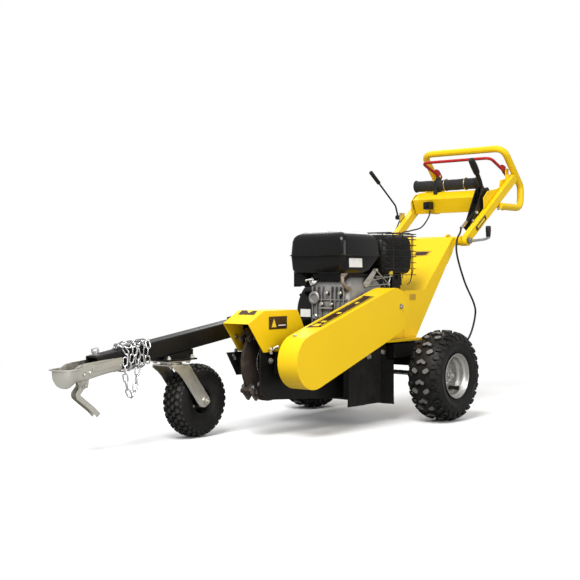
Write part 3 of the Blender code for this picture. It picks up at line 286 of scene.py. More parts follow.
YELLOW = painted("yellow_paint_worn", (0.88, 0.565, 0.006), 0.36, (0.3, 0.25, 0.16), 0.35, 0.05, 0.22)
BLACK = painted("black_paint_worn", (0.007, 0.0065, 0.006), 0.42, (0.13, 0.12, 0.11), 0.6, 0.12, 0.22)
RED = painted("red_paint_worn", (0.42, 0.012, 0.01), 0.36, (0.35, 0.3, 0.28), 0.5, 0.08)
GRITTY = painted("gritty_disc", (0.04, 0.028, 0.022), 0.55, (0.24, 0.19, 0.15), 0.8, 0.5)
ENGINE = painted("engine_black_gloss", (0.004, 0.0038, 0.0036), 0.16, (0.08, 0.08, 0.08), 0.3, 0.03, 0.25)
PLASTIC = plastic("black_moulding", (0.007, 0.007, 0.007))
RUBBER = rubbery("flap_rubber", (0.008, 0.0075, 0.007), 0.6, 0.14)
TYRE = rubbery("tyre_rubber", (0.0065, 0.006, 0.0055), 0.52, 0.1)
# Lighter grey for the tyre's knob tops: painted sheen.
TYRE_TOP_SHEEN = rubbery("tyre_knob_top_painted_sheen", (0.15, 0.145, 0.14), 0.75, 0.4)
# Lighter dark grey for the caster's knob tops: painted sheen.
CASTER_TOP_SHEEN = rubbery("caster_knob_top_painted_sheen", (0.03, 0.028, 0.026), 0.6, 0.3)
ZINC = metal("zinc_plate", (0.76, 0.74, 0.66), 0.36, 0.2, None, (0.72, 0.62, 0.42))
STEEL = metal("bright_steel", (0.6, 0.6, 0.6), 0.28, 0.12)
RIM = metal("silver_rim", (0.6, 0.59, 0.56), 0.42, 0.12)
CHAIN = metal("galvanised_chain", (0.66, 0.66, 0.66), 0.24, 0.15)
CARBIDE = metal("tooth_steel", (0.25, 0.22, 0.2), 0.45, 0.3, None, (0.2, 0.11, 0.06), 0.3)
BRASS = metal("brass_fitting", (0.62, 0.47, 0.24), 0.32, 0.15)
# Dark orange: faded print on the column's band, and painted shade for the column's slot.
FADED_PRINT_AND_SHADE = glossy_print("faded_print_and_slot_shade", (0.5, 0.3, 0.02), 0.45)
PIPE = cast("pipe_casting", (0.4, 0.34, 0.28))
CAST = cast("cast_aluminium_skin", (0.42, 0.41, 0.4))
CLOTH = woven("pouch_cloth", (0.007, 0.007, 0.0072))
STICKER = glossy_print("dark_sticker", (0.04, 0.016, 0.006))
WHITE = glossy_print("pale_sticker", (0.78, 0.77, 0.74))
MARK = glossy_print("yellow_mark", (0.85, 0.6, 0.03))

# The record's material slot for each finish, which piece() looks up but keeps nowhere; prints have none.
SLOTS = {
    YELLOW: "yellow_paint", BLACK: "black_paint", RED: "red_paint", ENGINE: "engine_black",
    PLASTIC: "black_plastic", RUBBER: "rubber", TYRE: "tyre_rubber", ZINC: "zinc", STEEL: "bright_steel",
    RIM: "zinc", CHAIN: "zinc", CARBIDE: "bright_steel", BRASS: "bright_steel", PIPE: "bright_steel",
    CAST: "cast_aluminium", CLOTH: "black_plastic",
}


# ------------------------------------------------------------------------------------------- shapes

def box(bm, low, high, bevel=0.0):
    """A block between two corners, its edges rounded by bevel.

    It is bevelled in a mesh of its own: in a large one the bevel's face order changes from run to run.
    """
    low, high = Vector(low), Vector(high)
    block = bmesh.new()
    for v in bmesh.ops.create_cube(block, size=1.0)["verts"]:
        v.co = Vector((low[i] + high[i]) / 2 + v.co[i] * (high[i] - low[i]) for i in range(3))
    if bevel:
        bmesh.ops.bevel(block, geom=block.edges[:], offset=bevel, segments=2, affect="EDGES", profile=0.7)
    made = bpy.data.meshes.new("block")
    block.to_mesh(made)
    block.free()
    bm.from_mesh(made)
    bpy.data.meshes.remove(made)


def prism(bm, outline, low, high, axis="Y"):
    """An outline pushed along an axis: (x, z) pairs for Y, (x, y) for Z, (y, z) for X."""
    put = {"X": lambda a, b, h: (h, a, b),
           "Y": lambda a, b, h: (a, h, b),
           "Z": lambda a, b, h: (a, b, h)}[axis]
    ends = [[bm.verts.new(put(a, b, h)) for a, b in outline] for h in (low, high)]
    faces = [bm.faces.new(ends[0]), bm.faces.new(list(reversed(ends[1])))]
    for i in range(len(outline)):
        j = (i + 1) % len(outline)
        faces.append(bm.faces.new((ends[0][j], ends[0][i], ends[1][i], ends[1][j])))
    bmesh.ops.recalc_face_normals(bm, faces=faces)


def side_plate(bm, outline, y, side, inner, outer):
    """An upright plate on one side (-1 or 1) of y, between two distances from it."""
    prism(bm, outline, *sorted((y + side * inner, y + side * outer)))


def lathe(bm, profile, start, axis=FAR, segments=32):
    """A closed profile of (radius, distance along the axis) turned about a line through start."""
    turn = Vector(UP).rotation_difference(Vector(axis)).to_matrix()
    start = Vector(start)
    rings = []
    for radius, along in profile:
        if radius < 1e-6:
            rings.append([bm.verts.new(turn @ Vector((0, 0, along)) + start)] * segments)
            continue
        rings.append([bm.verts.new(turn @ Vector((radius * math.cos(2 * math.pi * (k + 0.5) / segments),
                                                  radius * math.sin(2 * math.pi * (k + 0.5) / segments),
                                                  along)) + start) for k in range(segments)])
    faces = []
    for i, one in enumerate(rings):
        other = rings[(i + 1) % len(rings)]
        for k in range(segments):
            n = (k + 1) % segments
            corners = list(dict.fromkeys((one[k], one[n], other[n], other[k])))
            if len(corners) > 2:
                faces.append(bm.faces.new(corners))
    bmesh.ops.recalc_face_normals(bm, faces=faces)


def turned(bm, steps, start, axis=FAR, segments=32):
    """A solid turned shape: (radius, height) steps from its foot at start to its flat top."""
    lathe(bm, [(0, 0)] + steps + [(0, steps[-1][1])], start, axis, segments)


def ring_faces(bm, one, other):
    """Faces between two rings of equally many vertices."""
    count = len(one)
    return [bm.faces.new((one[k], one[(k + 1) % count], other[(k + 1) % count], other[k]))
            for k in range(count)]


def rod(bm, start, end, radius, segments=16, chamfer=0.0):
    """A round bar with chamfered ends."""
    start, end = Vector(start), Vector(end)
    length = (end - start).length
    c = min(chamfer, radius * 0.8, length * 0.4)
    profile = [(0, 0), (radius - c, 0), (radius, c), (radius, length - c), (radius - c, length), (0, length)]
    if not c:
        profile = [(0, 0), (radius, 0), (radius, length), (0, length)]
    lathe(bm, profile, start, (end - start).normalized(), segments)


def rounded(corners, radius, steps=5, cyclic=False):
    """A polyline whose inner corners become curves of about this radius."""
    corners = [Vector(c) for c in corners]
    path = []
    for i, corner in enumerate(corners):
        if not cyclic and i in (0, len(corners) - 1):
            path.append(corner)
            continue
        back, ahead = corners[i - 1] - corner, corners[(i + 1) % len(corners)] - corner
        reach = min(radius / math.tan(back.angle(ahead) / 2), 0.49 * back.length, 0.49 * ahead.length)
        first, last = corner + back.normalized() * reach, corner + ahead.normalized() * reach
        for k in range(steps + 1):
            t = k / steps
            path.append(first * (1 - t) ** 2 + corner * 2 * t * (1 - t) + last * t ** 2)
    return path


def sweep(bm, path, section, up=FAR, cyclic=False, scale=None):
    """A closed section of (across, up) pairs carried along a path without twisting."""
    path = [Vector(p) for p in path]
    count = len(path)
    side, rings = None, []
    for i, point in enumerate(path):
        before = path[i - 1] if (i or cyclic) else point
        after = path[(i + 1) % count] if (i < count - 1 or cyclic) else point
        along = (after - before).normalized()
        side = Vector(up).cross(along) if side is None else side - along * side.dot(along)
        side.normalize()
        rise = along.cross(side)
        s = scale[i] if scale else 1.0
        rings.append([bm.verts.new(point + side * a * s + rise * b * s) for a, b in section])
    faces = []
    for i in range(count if cyclic else count - 1):
        faces += ring_faces(bm, rings[i], rings[(i + 1) % count])
    if not cyclic:
        faces += [bm.faces.new(list(reversed(rings[0]))), bm.faces.new(rings[-1])]
    bmesh.ops.recalc_face_normals(bm, faces=faces)


def flat_bar(width, thick):
    """A section for sweep: half its width across, half its thickness up."""
    return [(-width, -thick), (width, -thick), (width, thick), (-width, thick)]


def wire_ring(radius, wire):
    """A profile for lathe: round wire of one radius, bent to a ring of another."""
    angles = [math.radians(45 * k) for k in range(8)]
    return [(radius + wire * math.cos(a), wire * math.sin(a)) for a in angles]


def tube(bm, path, radius, segments=10, up=FAR, cyclic=False, scale=None):
    """A round wire or pipe along a path."""
    section = [(radius * math.cos(2 * math.pi * k / segments), radius * math.sin(2 * math.pi * k / segments))
               for k in range(segments)]
    sweep(bm, path, section, up, cyclic, scale)


def bolt(bm, at, axis, size=0.008, washer=True, nut=False):
    """Hexagon head with its washer, standing on a surface at a point; size is the thread's diameter."""
    at, axis = Vector(at), Vector(axis).normalized()
    lift = 0.0
    if washer:
        w = size * 1.1
        lathe(bm, [(0, 0), (w, 0), (w, size * 0.12), (w * 0.95, size * 0.17), (0, size * 0.17)], at, axis, 20)
        lift = size * 0.17
    head = size * 0.68
    r = size * 0.95
    lathe(bm, [(0, lift), (r, lift), (r, lift + head * 0.85), (r * 0.88, lift + head), (0, lift + head)],
          at, axis, 6)
    if nut:
        rod(bm, at + axis * (lift + head * 0.9), at + axis * (lift + head * 1.7), size * 0.5, 12, size * 0.08)


def rounded_rect(x0, x1, y0, y1, radius, steps=4):
    """Outline of a rectangle with round corners, anticlockwise."""
    points = []
    for i, (x, y) in enumerate(((x1 - radius, y1 - radius), (x0 + radius, y1 - radius),
                                (x0 + radius, y0 + radius), (x1 - radius, y0 + radius))):
        for k in range(steps + 1):
            a = math.pi / 2 * (i + k / steps)
            points.append((x + radius * math.cos(a), y + radius * math.sin(a)))
    return points


def loft(bm, rings):
    """A closed skin through rings of equally many points, with flat ends."""
    rings = [[bm.verts.new(p) for p in ring] for ring in rings]
    faces = [bm.faces.new(list(reversed(rings[0]))), bm.faces.new(rings[-1])]
    for one, other in zip(rings, rings[1:]):
        faces += ring_faces(bm, one, other)
    bmesh.ops.recalc_face_normals(bm, faces=faces)


def catmull(points, steps=6):
    """A smooth path through points."""
    points = [Vector(p) for p in points]
    path = []
    for i in range(len(points) - 1):
        p0 = points[max(i - 1, 0)]
        p1, p2 = points[i], points[i + 1]
        p3 = points[min(i + 2, len(points) - 1)]
        for k in range(steps):
            t = k / steps
            path.append(0.5 * (2 * p1 + (p2 - p0) * t + (2 * p0 - 5 * p1 + 4 * p2 - p3) * t * t
                               + (3 * p1 - p0 - 3 * p2 + p3) * t ** 3))
    path.append(points[-1])
    return path


def piece(name, bm, material, body, slot=None, bevel=0.0, smooth=35, replaces=None):
    """Turns a shape into a named piece in the row frame that rides on a body and may stand for a CAD node."""
    bmesh.ops.translate(bm, verts=bm.verts, vec=(AXLE_X, 0, 0))
    mesh = bpy.data.meshes.new(name)
    bm.to_mesh(mesh)
    bm.free()
    obj = bpy.data.objects.new(name, mesh)
    bpy.context.scene.collection.objects.link(obj)
    mesh.materials.append(material)
    mesh.shade_smooth()
    mesh.set_sharp_from_angle(angle=math.radians(smooth))
    if bevel:
        edge = obj.modifiers.new("round", "BEVEL")
        edge.width, edge.segments, edge.limit_method, edge.angle_limit = bevel, 2, "ANGLE", math.radians(34)
        edge.harden_normals = True
    if body:
        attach(obj, body)
    slot = SLOTS.get(material) if slot is None else slot
    if replaces:
        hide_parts(replaces)
    return obj


def new():
    """An empty shape."""
    return bmesh.new()


# ------------------------------------------------------------------------------- CAD nodes' finishes

FINISHES = {
    YELLOW: ["cutter_hood", "belt_guard", "column", "handle_arms", "handlebar_loop", "control_panel"],
    BLACK: ["deck_frame", "cutter_housing", "guard_backplate", "drawbar", "drawbar_receiver",
            "caster_bracket", "caster_rim", "brake_bracket", "muffler_guard", "shaft_bearing",
            "cutter_pulley"],
    RED: ["bail_lever"],
    ENGINE: ["fan_housing", "recoil_cover", "fuel_tank", "muffler"],
    PLASTIC: ["air_cleaner", "fuel_cap", "recoil_grip", "stop_button", "switch_box", "brake_lever",
              "throttle_lever", "clamp_crank"],
    GRITTY: ["cutter_wheel"],
    CLOTH: ["document_tube"],
    RUBBER: ["side_flap", "rear_flap", "front_flap", "drive_belt"],
    TYRE: ["left_tyre", "right_tyre", "caster_tyre"],
    ZINC: ["ball_coupling", "coupling_latch", "tow_eye", "caster_mount_plate", "caster_fork", "receiver_pin"],
    CHAIN: ["safety_chain"],
    RIM: ["left_rim", "right_rim"],
    STEEL: ["axle", "cutter_shaft", "throttle_bracket"],
    CARBIDE: ["cutter_tooth_1", "cutter_tooth_2", "cutter_tooth_3", "cutter_tooth_4"],
    CAST: ["crankcase", "cylinder_head", "carburettor", "drive_pulley"],
}
EDGE_WIDTH = 0.0009
SHARP_NODES = ("muffler_guard", "safety_chain", "tow_eye", "drive_belt")    # replaced, so left unbevelled
WELD_GAP = 0.00002


def finish_cad_nodes():
    """Gives every CAD node its material and softened edges."""
    for material, names in FINISHES.items():
        for name in names:
            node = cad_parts[name]
            node.data.materials.clear()
            node.data.materials.append(material)
            node.data.shade_smooth()
            weld = node.modifiers.new("weld", "WELD")
            weld.merge_threshold = WELD_GAP
            flat = node.modifiers.new("flat", "DECIMATE")
            flat.decimate_type = "DISSOLVE"
            flat.angle_limit = math.radians(0.6)
            if name not in SHARP_NODES:
                edge = node.modifiers.new("round", "BEVEL")
                edge.width, edge.segments = EDGE_WIDTH, 2
                edge.limit_method, edge.angle_limit = "ANGLE", math.radians(28)
            even = node.modifiers.new("even", "WEIGHTED_NORMAL")
            even.weight = 90


# ------------------------------------------------------------------------------------------- wheels

class Carcass:
    """A tyre's outer surface: a half profile from the middle of the tread to the bead, by arc length."""

    def __init__(self, centre, half_profile):
        self.centre = Vector(centre)
        self.points = [Vector(p) for p in catmull([(y, r, 0) for r, y in half_profile], 5)]
        self.lengths = [0.0]
        for a, b in zip(self.points, self.points[1:]):
            self.lengths.append(self.lengths[-1] + (b - a).length)

    def at(self, angle, u, lift=0.0):
        """The point at an angle round the wheel and u across the tread, lifted off the surface."""
        side, u = (1 if u >= 0 else -1), abs(u)
        i = 0
        while i < len(self.lengths) - 2 and self.lengths[i + 1] < u:
            i += 1
        a, b = self.points[i], self.points[i + 1]
        t = (u - self.lengths[i]) / (self.lengths[i + 1] - self.lengths[i])
        p = a + (b - a) * t
        normal = Vector((-(b - a).y, (b - a).x)).normalized()
        y, r = p.x + normal.x * lift, p.y + normal.y * lift
        return self.centre + Vector((r * math.cos(angle), side * y, r * math.sin(angle)))

    def skin(self, bm, segments):
        """The carcass as a closed turned shell."""
        profile = [(p.y, -p.x) for p in reversed(self.points)] + [(p.y, p.x) for p in self.points[1:]]
        lathe(bm, profile, self.centre, segments=segments)

    def knob(self, bm, angle, u, outline, height, radius, draft=0.84, dished=False, worn=True):
        """A tread block: outline points (round the wheel, across) in metres about (angle, u). With worn set,
        its top takes material 1, the lighter grey that paints sheen on the knob tops.
        """
        levels = [(-0.002, 1.06), (height * 0.78, 0.98), (height, draft)]
        if dished:
            levels += [(height, draft * 0.55), (height * 0.55, draft * 0.45)]
        rings = []
        for lift, scale in levels:
            rings.append([bm.verts.new(self.at(angle + du * scale / radius, u + dv * scale, lift))
                          for du, dv in outline])
        faces = []
        # Material 1 on the tops when worn is set: the lighter grey painted sheen of the knob tops.
        for i, (one, other) in enumerate(zip(rings, rings[1:])):
            made = ring_faces(bm, one, other)
            for face in made:
                face.material_index = 1 if i == 2 and worn else 0
            faces += made
        faces += [bm.faces.new(list(reversed(rings[0]))), bm.faces.new(rings[-1])]
        faces[-1].material_index = 0 if dished or not worn else 1
        bmesh.ops.recalc_face_normals(bm, faces=faces)


def oval(length, width, lean=0.0, power=3.2, steps=12):
    """A rounded block outline, length across the tread unless leaned (degrees)."""
    points = []
    for k in range(steps):
        a = 2 * math.pi * k / steps
        c, s = math.cos(a), math.sin(a)
        x = abs(c) ** (2 / power) * math.copysign(width / 2, c)
        y = abs(s) ** (2 / power) * math.copysign(length / 2, s)
        t = math.radians(lean)
        points.append((x * math.cos(t) - y * math.sin(t), x * math.sin(t) + y * math.cos(t)))
    return points


def chevron(span, depth, width):
    """A V block across the middle of the tread."""
    h = span / 2
    return [(-depth / 2, 0), (-depth * 0.05, -h * 0.55), (depth / 2 - width * 0.2, -h),
            (depth / 2 + width * 0.55, -h * 0.82), (depth / 2 + width * 0.45, -h * 0.35),
            (-depth / 2 + width, 0), (depth / 2 + width * 0.45, h * 0.35),
            (depth / 2 + width * 0.55, h * 0.82), (depth / 2 - width * 0.2, h), (-depth * 0.05, h * 0.55)]


REAR_PROFILE = [(0.169, 0.0), (0.1684, 0.02), (0.1655, 0.038), (0.1595, 0.053), (0.15, 0.0625),
                (0.137, 0.068), (0.123, 0.069), (0.109, 0.066), (0.0985, 0.061), (0.09, 0.0565),
                (0.0845, 0.0535)]
CASTER_PROFILE = [(0.1236, 0.0), (0.123, 0.012), (0.1204, 0.025), (0.1145, 0.035), (0.105, 0.0405),
                  (0.09, 0.0412), (0.072, 0.0385), (0.06, 0.034), (0.052, 0.0318)]


def rear_tyre(name, side):
    """Knobbly all-terrain tyre: chevrons on the crown, leaning ovals, shoulder and side lugs."""
    centre = Vector((0, side * TRACK / 2, AXLE_Z))
    carcass = Carcass(centre, REAR_PROFILE)
    bm = new()
    carcass.skin(bm, 96)
    repeats = 14
    step = 2 * math.pi / repeats
    for k in range(repeats):
        a = step * k + 0.06
        carcass.knob(bm, a, 0.0, chevron(0.046, 0.015, 0.015), 0.0098, 0.174)
        for s in (-1, 1):
            carcass.knob(bm, a + step * 0.5, s * 0.024, oval(0.029, 0.02, s * 32), 0.0095, 0.174)
            carcass.knob(bm, a + step * 0.22, s * 0.05, oval(0.026, 0.023, s * 12), 0.0085, 0.168,
                         0.88, True, False)
            carcass.knob(bm, a + step * 0.74, s * 0.051, oval(0.025, 0.02, s * 20), 0.0085, 0.168, worn=False)
            carcass.knob(bm, a + step * 0.48, s * 0.07, oval(0.02, 0.02, 0), 0.005, 0.156, worn=False)
            carcass.knob(bm, a + step * 0.98, s * 0.07, oval(0.016, 0.017, 0), 0.0042, 0.156, worn=False)
    for s in (-1, 1):
        for u in (0.093, 0.119):
            edge, base = carcass.at(0, s * u, 0.0014) - centre, carcass.at(0, s * u, -0.001) - centre
            lathe(bm, [(base.x - 0.0016, base.y), (edge.x - 0.0007, edge.y), (edge.x + 0.0007, edge.y),
                       (base.x + 0.0016, base.y)], centre, segments=96)
    obj = piece(f"{name}_tyre_tread", bm, TYRE, f"{name}_wheel", smooth=40)
    # Second material: lighter grey painted sheen on the knob tops.
    obj.data.materials.append(TYRE_TOP_SHEEN)
    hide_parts(f"{name}_tyre")


def rear_wheel(name, side):
    """Pressed silver wheel: rolled edges, stepped barrel, deep disc, hub, four nuts and a valve."""
    body = f"{name}_wheel"
    centre = Vector((0, side * TRACK / 2, AXLE_Z))
    bm = new()
    outer = [(0.0845, 0.0545), (0.0868, 0.057), (0.088, 0.0596), (0.0876, 0.0618), (0.0858, 0.0626),
             (0.0838, 0.0614), (0.0826, 0.058), (0.0818, 0.053), (0.08, 0.049), (0.0772, 0.0466),
             (0.075, 0.045), (0.0738, 0.041), (0.0735, 0.03), (0.0706, 0.024), (0.0676, 0.02),
             (0.0662, 0.012), (0.0656, -0.012), (0.0632, -0.0165), (0.056, -0.019), (0.044, -0.0175),
             (0.04, -0.014), (0.035, -0.012), (0.03, -0.011), (0.0272, -0.008), (0.0258, 0.022),
             (0.0236, 0.024), (0.0118, 0.024)]
    inner = [(0.0118, -0.034), (0.0285, -0.034), (0.0285, -0.0215), (0.056, -0.0235), (0.064, -0.0215),
             (0.068, -0.03), (0.0735, -0.04), (0.08, -0.05), (0.0815, -0.06), (0.088, -0.0612),
             (0.088, -0.059), (0.0845, -0.0545)]
    lathe(bm, [(r, side * y) for r, y in outer + inner], centre, segments=72)
    piece(f"{name}_wheel_disc", bm, RIM, body, smooth=38, replaces=f"{name}_rim")
    bm = new()
    out = Vector((0, side, 0))
    for k in range(4):
        a = math.radians(45 + 90 * k)
        at = centre + Vector((math.cos(a) * 0.05, 0, math.sin(a) * 0.05)) - out * 0.0188
        bolt(bm, at, out, 0.0095, True, True)
    lathe(bm, [(0.0124, 0), (0.0215, 0), (0.0205, 0.0022), (0.0124, 0.0022)], centre + out * 0.0238, out, 24)
    piece(f"{name}_wheel_nuts", bm, STEEL, body, smooth=30)
    bm = new()
    at = centre + Vector((0.04, side * 0.008, -0.0545))
    stem = catmull([at, at + Vector((0.003, side * 0.012, 0.002)),
                    at + Vector((0.004, side * 0.032, 0.005))])
    tube(bm, stem, 0.0066, 12, BACK)
    turned(bm, [(0.012, 0), (0.0105, 0.008), (0.0066, 0.013)], at - out * 0.006, out, 16)
    piece(f"{name}_tyre_valve", bm, RUBBER, body, smooth=30)
    bm = new()
    end = centre + out * 0.04
    bolt(bm, end - out * 0.0135, out, 0.0125, True, True)
    piece(f"{name}_axle_nut", bm, ZINC, "chassis", "bright_steel", smooth=30)


def brake():
    """Drum inside the near wheel, the band round it and the arm that the cable pulls."""
    centre = Vector((0, -TRACK / 2, AXLE_Z))
    bm = new()
    lathe(bm, [(0.0295, 0.035), (0.052, 0.035), (0.055, 0.038), (0.055, 0.054), (0.053, 0.056),
               (0.0295, 0.056)], centre, segments=40)
    piece("brake_drum", bm, BLACK, "left_wheel", smooth=30)
    bm = new()
    band = [centre + Vector((0.059 * math.cos(a), 0.0465, 0.059 * math.sin(a)))
            for a in (math.radians(60 + 10 * k) for k in range(31))]
    sweep(bm, band, flat_bar(0.007, 0.0018), BACK)
    box(bm, (0.026, -0.295, AXLE_Z + 0.05), (0.034, -0.219, AXLE_Z + 0.058), 0.001)
    rod(bm, (0.03, -0.285, AXLE_Z + 0.02), (0.03, -0.285, AXLE_Z + 0.058), 0.004)
    piece("brake_band", bm, STEEL, "chassis", smooth=30)


def caster_wheel():
    """Small pneumatic tyre with staggered block tread on a black two-part steel wheel."""
    carcass = Carcass(CASTER, CASTER_PROFILE)
    bm = new()
    carcass.skin(bm, 84)
    repeats = 30
    step = 2 * math.pi / repeats
    for k in range(repeats):
        a = step * k
        for row, lean in ((0.0, 0), (-0.0165, 14), (0.0165, -14)):
            offset = 0.0 if row == 0 else step * 0.5
            carcass.knob(bm, a + offset, row, oval(0.012, 0.0175, lean, 5.0, 12), 0.0066, 0.126)
        for s in (-1, 1):
            carcass.knob(bm, a, s * 0.032, oval(0.013, 0.017, s * 10, 5.0, 12), 0.0058, 0.12)
            carcass.knob(bm, a + step * 0.5, s * 0.0435, oval(0.008, 0.012, 0, 4.0, 8), 0.0022, 0.11)
    for s in (-1, 1):
        edge = carcass.at(0, s * 0.066, 0.0012) - CASTER
        r, y = edge.x, edge.y
        lathe(bm, [(r - 0.0015, y - s * 0.002), (r - 0.0008, y), (r + 0.0008, y),
                   (r + 0.0015, y - s * 0.002)], CASTER, segments=84)
    obj = piece("caster_tyre_tread", bm, TYRE, "caster_wheel", smooth=40)
    # Second material: lighter painted sheen on the knob tops.
    obj.data.materials.append(CASTER_TOP_SHEEN)
    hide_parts("caster_tyre")
    bm = new()
    for s in (-1, 1):
        out = Vector((0, s, 0))
        for k in range(4):
            a = math.radians(45 + 90 * k)
            spot = CASTER + Vector((math.cos(a) * 0.029, s * 0.006, math.sin(a) * 0.029))
            bolt(bm, spot, out, 0.0075, True, True)
    piece("caster_wheel_bolts", bm, ZINC, "caster_wheel", smooth=30)
    bm = new()
    at = CASTER + Vector((0.01, -0.006, -0.034))
    stem = [at, at + Vector((0.001, -0.012, -0.003)), at + Vector((0.002, -0.022, -0.006))]
    tube(bm, stem, 0.004, 12, BACK)
    piece("caster_valve", bm, RUBBER, "caster_wheel", smooth=30)


# ------------------------------------------------------------------------------------------- towing

def on_beam(x, y=0.0, z=0.0):
    """A point beside the drawbar's centre line."""
    return Vector((x, BEAM_Y + y, beam_z(x) + z))


def chain_link(bm, centre, along, across, length=0.0345, width=0.02, wire=0.0027):
    """One welded link: a stadium of round wire."""
    along, across = Vector(along).normalized(), Vector(across)
    across = (across - along * across.dot(along)).normalized()
    half, r = length / 2 - width / 2, width / 2 - wire
    path = []
    for turn in (0, 1):
        for k in range(7):
            a = math.pi * (k / 6 - 0.5 + turn)
            path.append(centre + along * (math.copysign(half, 0.5 - turn) + r * math.cos(a))
                        + across * (r * math.sin(a)))
    tube(bm, path, wire, 7, along.cross(across), True)


def lay_chain(bm, path, pitch=0.0262, start_turn=0.0):
    """Links along a path, each a quarter turn from the last."""
    lengths = [0.0]
    for a, b in zip(path, path[1:]):
        lengths.append(lengths[-1] + (b - a).length)
    i, normal = 0, None
    for k in range(int(lengths[-1] / pitch)):
        s = (k + 0.5) * pitch
        while lengths[i + 1] < s:
            i += 1
        a, b = path[i], path[i + 1]
        along = (b - a).normalized()
        normal = along.orthogonal() if normal is None else normal
        normal = (normal - along * normal.dot(along)).normalized()
        point = a + (b - a) * ((s - lengths[i]) / (lengths[i + 1] - lengths[i]))
        angle = math.radians(45 + 90 * (k % 2)) + start_turn + random.uniform(-0.25, 0.25)
        chain_link(bm, point, along, Matrix.Rotation(angle, 3, along) @ normal)


def safety_chain():
    """The chain: turns round the beam and one loop hanging beside it."""
    half = BEAM_W / 2 + 0.0092
    turns, facets, square = 5.5, 20, 4.5
    path = []
    for k in range(int(turns * facets) + 1):
        a = 2 * math.pi * k / facets + math.radians(60)
        x = -1.288 + 0.104 * k / (turns * facets) + 0.006 * math.sin(2.3 * a)
        c, s = math.cos(a), math.sin(a)
        r = half / (abs(c) ** square + abs(s) ** square) ** (1 / square)
        path.append(on_beam(x, r * c, r * s))
    bm = new()
    lay_chain(bm, path)
    y = -half
    drop = [(-1.236, 0.322), (-1.236, 0.285), (-1.246, 0.235), (-1.26, 0.192), (-1.274, 0.178),
            (-1.288, 0.196), (-1.296, 0.25), (-1.29, 0.304)]
    hang = [0.0, -0.002, -0.006, -0.01, -0.012, -0.01, -0.006, 0.0]
    loop = catmull([(x, BEAM_Y + y + out, z) for (x, z), out in zip(drop, hang)], 6)
    lay_chain(bm, loop, start_turn=0.4)
    piece("safety_chain_links", bm, CHAIN, "chassis", smooth=60, replaces="safety_chain")


def drawbar_tube():
    """Square tube with rounded corners and an open front end."""
    bm = new()
    rings = []
    for x, width in ((-1.395, BEAM_W), (-0.6, BEAM_W), (-0.6, BEAM_W - 0.011), (-1.395, BEAM_W - 0.011)):
        half = width / 2
        corner = 0.0055 if width == BEAM_W else 0.003
        outline = rounded_rect(-half, half, -half, half, corner)
        rings.append([bm.verts.new(on_beam(x - BEAM_SLOPE * b, a, b)) for a, b in outline])
    for i, one in enumerate(rings):
        ring_faces(bm, one, rings[(i + 1) % 4])
    bmesh.ops.recalc_face_normals(bm, faces=bm.faces)
    piece("drawbar_tube", bm, BLACK, "chassis", bevel=0.0006, replaces="drawbar")
    bm = new()
    top = on_beam(-1.384, 0, BEAM_W / 2 * 1.011)
    turned(bm, [(0.015, 0), (0.015, 0.002), (0.0105, 0.0024), (0.0105, 0.01), (0.007, 0.012)], top, UP, 20)
    lathe(bm, wire_ring(0.0098, 0.0036), top + Vector((0, 0, 0.015)), (0.5, 0.86, 0), 24)
    piece("tow_eye_nut", bm, STEEL, "chassis", "zinc", smooth=50, replaces="tow_eye")


def coupling_section(x):
    """Half width, top, bottom and squareness of the coupling's pressed shell at x."""
    stations = [(-1.472, 0.0368, 0.2925, 0.235, 3.2), (-1.444, 0.0368, 0.2965, 0.2395, 5.0),
                (-1.38, 0.0368, 0.302, 0.2515, 6.0), (-1.3, 0.0368, 0.306, 0.2633, 6.0)]
    if x <= NOSE_X:
        reach = math.sqrt(max(0.0, 1 - ((x - NOSE_X) / 0.0405) ** 2))
        return 0.0365 * reach + 0.0015, 0.2765, 0.272 - 0.056 * reach, 2.6
    first = (NOSE_X, 0.038, 0.2765, 0.216, 2.6)
    for one, other in zip([first] + stations, stations):
        if x <= other[0] + 1e-9:
            t = (x - one[0]) / (other[0] - one[0])
            t = t * t * (3 - 2 * t)
            return tuple(a + (b - a) * t for a, b in zip(one[1:], other[1:]))
    return stations[-1][1:]


